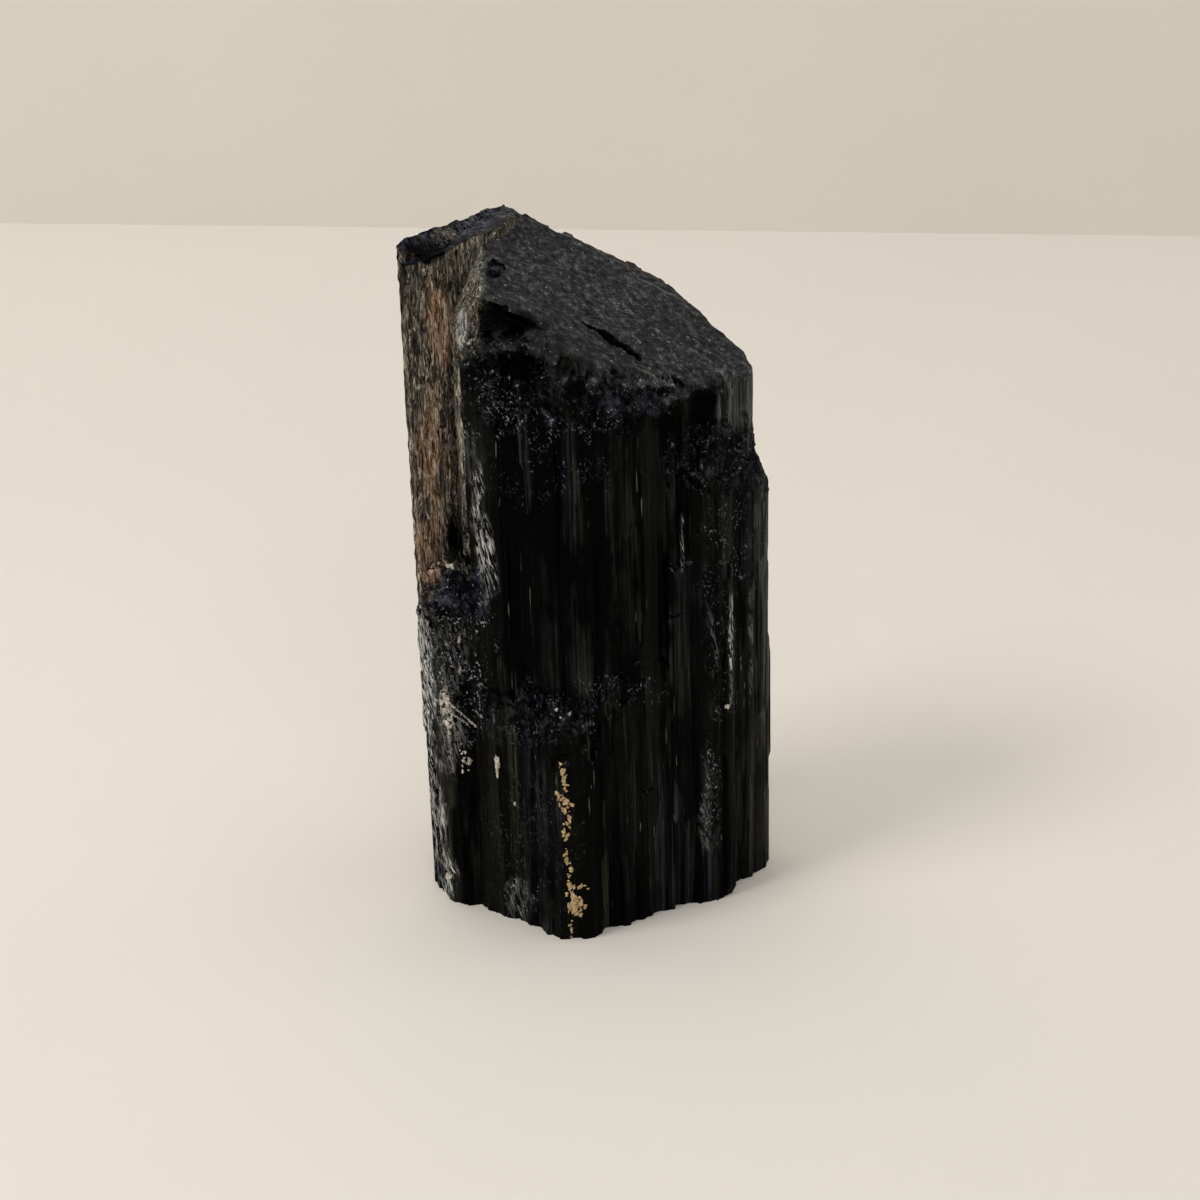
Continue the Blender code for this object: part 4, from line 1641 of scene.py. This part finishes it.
        # Painted sheen: grey streaks where its mask has them, in place of reflections.
        grey = nodes.product(nodes.remap(hair, 0.42, 0.62, 0.08, 1.0),
                             nodes.remap(strips[1], 0.1, 0.9, 0.25, 1.0), nodes.mask(Skin.PAINTED_SHEEN))
        colour = nodes.mix(grey, colour, self.painted_sheen)
        needles = nodes.facets(nodes.mapped(self.needle_scale, self.upright))
        # Broad slabs a little olive: tone, partly a painted reflection of glossy faces.
        slabs = nodes.facets(nodes.mapped(self.slab_scale, self.upright))
        broad = nodes.remap(slabs[0], 0.54, 0.78, 0.0, 0.18)
        broad = nodes.product(broad, nodes.remap(hair, 0.3, 0.7, 0.6, 1.0))
        colour = nodes.mix(broad, colour, self.olive)
        sparse = nodes.product(nodes.remap(needles[0], 0.989, 0.999, 0.0, 0.6),
                               nodes.remap(clouds, 0.50, 0.60))
        return nodes.mix(sparse, colour, self.scratch)

    def end_face(self, nodes: NodeTree, colour: Socket, grit: Socket) -> Socket:
        """The dull sloping end face: charcoal with ashy grit, pale specks and fine scratches.

        Args:
            nodes: the material's nodes.
            colour: what lies under it.
            grit: its grit.

        Returns:
            The colour's output.
        """
        base = nodes.ramp(grit, self.end_ramp)
        slow = nodes.noise(nodes.mapped(self.slow_scale, self.end_slope), 4.0, 0.6)
        base = nodes.mix(nodes.remap(slow, 0.50, 0.66, 0.0, 0.6), base, self.charcoal)
        dots = nodes.facets(nodes.mapped(self.dot_scale))
        base = nodes.mix(nodes.remap(dots[0], 0.993, 0.999), base, self.scratch)
        tilt_x, tilt_y, tilt_z = self.end_slope
        for swing, length, low in self.scratches:
            turned = nodes.mapped((length, 3000.0, 200.0), (tilt_x, tilt_y, tilt_z + swing))
            lines = nodes.noise(turned, 3.0, 0.6, 0.15)
            faint = nodes.product(nodes.remap(lines, low, low + 0.08, 0.0, 0.36),
                                  nodes.remap(slow, 0.56, 0.44))
            base = nodes.mix(faint, base, self.scratch)
        return nodes.mix(nodes.mask(Skin.END_FACE), colour, base)

    def broken(self, nodes: NodeTree, colour: Socket, crumbs: Socket) -> Socket:
        """The broken ledges: ashy crumbs, a painted lit blue sheen over the blue-black, and painted
        glints.

        Args:
            nodes: the material's nodes.
            colour: what lies under them.
            crumbs: their crumbs.

        Returns:
            The colour's output.
        """
        ashy = nodes.product(nodes.remap(crumbs, 0.55, 0.64, 0.0, 0.8), nodes.mask(Skin.BREAK))
        colour = nodes.mix(ashy, colour, self.ash)
        # The blue-black goes to lit slate: a painted sheen where tops catch the light.
        base = nodes.mix(nodes.remap(crumbs, 0.49, 0.63), self.navy, self.lit_slate)
        colour = nodes.mix(nodes.mask(Skin.BLUE), colour, base)
        # Painted glints: small and large pale specks in clusters, where their mask has them.
        sparks = nodes.noise(nodes.mapped(self.spark_scale, self.tumbled), 2.0, 0.6, 0.6)
        clusters = nodes.noise(nodes.mapped(self.cluster_scale), 2.0, 0.6)
        chips = nodes.noise(nodes.mapped(self.chip_scale, self.chipped), 3.0, 0.7, 0.5)
        small = nodes.product(nodes.remap(sparks, 0.60, 0.66), nodes.remap(clusters, 0.45, 0.56))
        large = nodes.product(nodes.remap(chips, 0.65, 0.70), nodes.remap(clusters, 0.58, 0.48))
        bright = nodes.product(nodes.maths("MAXIMUM", small, large), nodes.mask(Skin.PAINTED_GLINT))
        return nodes.mix(bright, colour, self.painted_glint)

    def fibres(self, nodes: NodeTree, colour: Socket, strands: Socket) -> Socket:
        """The fibrous face: brown, tan and cream strands with rust between them, and a painted highlight
        along its crest.

        Args:
            nodes: the material's nodes.
            colour: what lies under it.
            strands: its strands.

        Returns:
            The colour's output.
        """
        plain, rusty, pale = (
            nodes.ramp(strands, ramp) for ramp in (self.plain_ramp, self.rusty_ramp, self.pale_and_highlight_ramp))
        drift = nodes.noise(nodes.mapped(self.drift_scale, self.upright), 3.0, 0.6)
        rust = nodes.product(nodes.remap(drift, 0.28, 0.46), nodes.mask(Skin.RUST))
        base = nodes.mix(rust, plain, rusty)
        base = nodes.mix(nodes.mask(Skin.PALE_AND_HIGHLIGHT), base, pale)
        return nodes.mix(nodes.mask(Skin.FIBRES), colour, base)

    def flecks(self, nodes: NodeTree, colour: Socket) -> Socket:
        """Silvery strands, painted edge highlights and cream crusts, each where its mask has it.

        Args:
            nodes: the material's nodes.
            colour: what lies under them.

        Returns:
            The colour's output.
        """
        flakes = nodes.facets(nodes.mapped(self.flake_scale, self.slant))
        strand = nodes.noise(nodes.mapped(self.silver_scale, self.slant), 4.0, 0.72, 0.4)
        bright = nodes.product(nodes.remap(flakes[0], 0.20, 0.85), nodes.remap(strand, 0.455, 0.54),
                               nodes.mask(Skin.SILVER_AND_HIGHLIGHT))
        colour = nodes.mix(bright, colour, self.silver_and_highlight)
        grains = nodes.noise(nodes.mapped(self.crust_scale), 3.0, 0.6)
        crust = nodes.product(nodes.remap(grains, 0.47, 0.55), nodes.mask(Skin.CREAM))
        return nodes.mix(crust, colour, self.cream)


@dataclass(frozen=True)
class StudioFinish:
    """A plain pale surface of the studio."""

    name: str
    colour: Colour

    def material(self) -> bpy.types.Material:
        """A pale surface with a faint cloudiness.

        Returns:
            The material.
        """
        nodes = NodeTree(self.name)
        clouds = nodes.noise(nodes.mapped((9.0, 9.0, 9.0)), 3.0, 0.5)
        darker = tuple(0.94 * part for part in self.colour)
        nodes.principled(nodes.mix(clouds, darker, self.colour), 0.85, specular=0.2)
        return nodes.material


@dataclass(frozen=True)
class SoftLight:
    """A soft rectangular light turned towards a point, in metres and watts."""

    name: str
    place: tuple[float, float, float]
    aim: tuple[float, float, float]
    size: tuple[float, float]
    power: float
    tint: Colour = (1.0, 1.0, 1.0)

    def hang(self) -> None:
        """Makes the light."""
        data = bpy.data.lights.new(self.name, "AREA")
        data.shape = "RECTANGLE"
        data.size, data.size_y = self.size
        data.energy = self.power
        data.color = self.tint
        lamp = linked(self.name, data)
        lamp.location = self.place
        way = Vector(self.aim) - Vector(self.place)
        lamp.rotation_euler = way.to_track_quat("-Z", "Y").to_euler()


@dataclass(frozen=True)
class Studio:
    """The plain floor, the plain backdrop and the soft lights."""

    floor: StudioFinish = StudioFinish("floor_paint", (0.830, 0.790, 0.728))
    wall: StudioFinish = StudioFinish("backdrop_paint", (0.870, 0.820, 0.740))
    # Where the wall's two ends stand on the floor, how high it is and where the floor ends.
    wall_ends: Route = ((-2.5, 0.396), (2.5, 0.224))
    wall_height: float = 2.2
    floor_front: float = -2.5
    lights: tuple[SoftLight, ...] = (
        SoftLight("key", (-0.50, -0.28, 0.75), (0.0, 0.0, 0.05), (0.28, 0.28), 2.9, (1.0, 0.97, 0.93)),
        SoftLight("overhead", (0.05, 0.38, 1.15), (0.0, 0.0, 0.05), (1.3, 1.3), 10.5),
        SoftLight("front", (0.15, -1.1, 0.75), (0.0, 0.1, 0.1), (0.9, 0.7), 2.9),
    )
    glow: Colour = (1.0, 0.98, 0.95)
    glow_strength: float = 0.28

    @staticmethod
    def sheet(name: str, corners: list[tuple[float, float, float]], finish: StudioFinish) -> None:
        """Lays a flat stage sheet.

        Args:
            name: the sheet's name.
            corners: its four corners.
            finish: its paint.
        """
        made = solid(name, np.array(corners, float), [[0, 1, 2, 3]])
        made.data.materials.append(finish.material())

    def build(self) -> None:
        """Lays the floor, stands the backdrop behind it and hangs the lights."""
        (left, left_y), (right, right_y) = self.wall_ends
        near, high = self.floor_front, self.wall_height
        foot = [(right, right_y, 0.0), (left, left_y, 0.0)]
        self.sheet("floor", [(left, near, 0.0), (right, near, 0.0), *foot], self.floor)
        self.sheet("backdrop", [*foot[::-1], (right, right_y, high), (left, left_y, high)], self.wall)
        for light in self.lights:
            light.hang()
        world = bpy.data.worlds.new("studio_world")
        bpy.context.scene.world = world
        world.use_nodes = True
        background = world.node_tree.nodes["Background"]
        background.inputs["Color"].default_value = (*self.glow, 1.0)
        background.inputs["Strength"].default_value = self.glow_strength
        bpy.context.scene.view_settings.view_transform = "Standard"


@dataclass(frozen=True)
class Grain:
    """A pale mineral grain in the surface, placed by a pixel, with its half sizes in millimetres."""

    pixel: tuple[float, float]
    half: tuple[float, float, float]
    turn: float = 0.0


GRAINS = (
    Grain((450, 567), (0.50, 0.4, 0.38)),
    Grain((449, 878), (0.45, 0.4, 0.65)),
    Grain((468, 761), (0.50, 0.35, 0.45)),
    Grain((497, 764), (0.32, 0.35, 1.30)),
    Grain((460, 670), (0.22, 0.25, 0.60)),
    Grain((459, 640), (0.20, 0.25, 0.45)),
    Grain((515, 804), (0.20, 0.2, 0.25)),
    Grain((556, 710), (0.25, 0.2, 0.22)),
    Grain((560, 718), (0.28, 0.2, 0.22)),
    Grain((569, 714), (0.32, 0.25, 0.30)),
    Grain((727, 706), (0.30, 0.25, 0.32)),
)


@dataclass(frozen=True)
class Vein:
    """A broken line of grains through pixels of the photograph's frame."""

    route: Route
    step: float
    halves: tuple[float, float]
    spread: float = 0.0
    kept: float = 0.8

    def grains(self, seed: int) -> list[Grain]:
        """The vein's grains.

        Args:
            seed: picks their places and sizes.

        Returns:
            Grains at even steps along the route, moved aside and sized by fixed random numbers.
            The share that isn't kept leaves gaps.
        """
        grains = []
        small, large = self.halves
        for index, place in enumerate(paced(self.route, self.step)[1]):
            draw = hashed(np.array([[index, part, seed] for part in range(6)]), 71)
            if draw[0] > self.kept:
                continue
            pixel = tuple(place + self.spread * (2.0 * draw[1:3] - 1.0))
            half = small + (large - small) * draw[3]
            grains.append(Grain(pixel, (half, 0.22, half * (0.7 + 1.1 * draw[4])), 180.0 * draw[5]))
        return grains


# The golden vein on the front foot, and white needles beside the cream crust.
GOLDEN_VEINS = (
    Vein(((561, 766), (567, 782), (560, 799), (568, 813), (566, 838)), 1.0, (0.05, 0.27), 3.6, 0.7),
    Vein(((558, 794), (572, 806)), 1.2, (0.08, 0.34), 2.8),
    Vein(((565, 851), (570, 870), (571, 886), (573, 896)), 1.2, (0.05, 0.24), 2.6, 0.7),
    Vein(((571, 886), (588, 887)), 2.0, (0.08, 0.20), 1.6),
    Vein(((570, 896), (583, 902), (569, 907), (582, 914)), 1.0, (0.10, 0.38), 4.0, 1.0),
    Vein(((571, 922), (570, 938)), 2.0, (0.10, 0.24), 2.0),
)
WHITE_VEINS = (
    Vein(((443, 690), (447, 712), (452, 726)), 1.3, (0.06, 0.20), 3.5),
    Vein(((448, 702), (476, 726)), 1.3, (0.06, 0.10), 0.3, 1.0),
    Vein(((452, 714), (468, 724)), 1.3, (0.05, 0.09), 0.3, 1.0),
    Vein(((462, 742), (466, 772)), 2.0, (0.06, 0.20), 4.0),
    Vein(((447, 566), (453, 568)), 1.5, (0.14, 0.26), 1.0, 1.0),
)


@dataclass(frozen=True)
class PaleFinish:
    """Pale feldspar or mica: cream with darker pits."""

    name: str
    light: Colour
    dark: Colour

    def material(self) -> bpy.types.Material:
        """Builds the grainy material.

        Returns:
            The material.
        """
        nodes = NodeTree(self.name)
        specks = nodes.noise(nodes.mapped((2600.0, 2600.0, 2600.0)), 3.0, 0.6)
        colour = nodes.mix(nodes.remap(specks, 0.35, 0.65), self.dark, self.light)
        normal = nodes.bump(specks, 0.0002)
        nodes.principled(colour, 0.5, normal)
        return nodes.material


@dataclass(frozen=True)
class PaleGrains:
    """Pale grains that are grown into the crystal's front and joined in one piece."""

    name: str
    grains: tuple[Grain, ...]
    finish: PaleFinish
    rough: float = 0.75
    facet: float = 0.22
    spacing: float = 0.12

    @staticmethod
    def seat(tree: BVHTree, pixel: tuple[float, float]) -> Optional[np.ndarray]:
        """Where the line of sight through a pixel meets the crystal, in millimetres."""
        hit, _, _, _ = tree.ray_cast(Vector(VIEW.place()), Vector(VIEW.ray(pixel)))
        return None if hit is None else np.array(hit) / MM

    def build(self, carrier: bpy.types.Object) -> bpy.types.Object:
        """Seats each grain, half sunk in the surface, and joins them.

        Args:
            carrier: the crystal's surface.

        Returns:
            The piece, in metres.
        """
        tree = BVHTree.FromObject(carrier, bpy.context.evaluated_depsgraph_get())
        points, faces, start = [], [], 0
        for seed, grain in enumerate(self.grains, start=1):
            seat = self.seat(tree, grain.pixel)
            if seat is None:
                log.warning("no seat for a grain at %s", grain.pixel)
                continue
            stone = Stone(self.name, tuple(seat), grain.half, grain.turn, self.rough, self.facet,
                          self.spacing)
            placed, *sides = stone.arrays(53 * seed)
            points.append(placed * MM)
            for side in sides:
                faces += (start + side).tolist()
            start += len(placed)
        made = solid(self.name, np.vstack(points), faces)
        made.data.shade_smooth()
        made.data.materials.append(self.finish.material())
        return made


def declare(piece: bpy.types.Object) -> None:
    """Hangs a piece from the crystal's root, so that it moves with the crystal.

    Args:
        piece: the piece.
    """
    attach(piece, "root")
    log.info("%s is in place", piece.name)


def main() -> None:
    """Builds the camera, the studio, the crystal and its grains."""
    logging.basicConfig(level=logging.INFO)
    VIEW.make()
    Studio().build()
    crystal = CrystalSurface().build()
    crystal.data.materials.append(TourmalineFinish().material())
    declare(crystal)
    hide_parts("crystal")
    white = (grain for seed, vein in enumerate(WHITE_VEINS) for grain in vein.grains(seed))
    golden = (grain for seed, vein in enumerate(GOLDEN_VEINS, start=20) for grain in vein.grains(seed))
    pale = PaleFinish("pale_grain", (0.74, 0.70, 0.62), (0.42, 0.36, 0.28))
    gold = PaleFinish("golden_grain", (0.82, 0.64, 0.34), (0.34, 0.21, 0.08))
    for crusts in (PaleGrains("pale_grains", (*GRAINS, *white), pale),
                   PaleGrains("golden_vein", tuple(golden), gold)):
        declare(crusts.build(crystal))


if __name__ == "__main__":
    main()
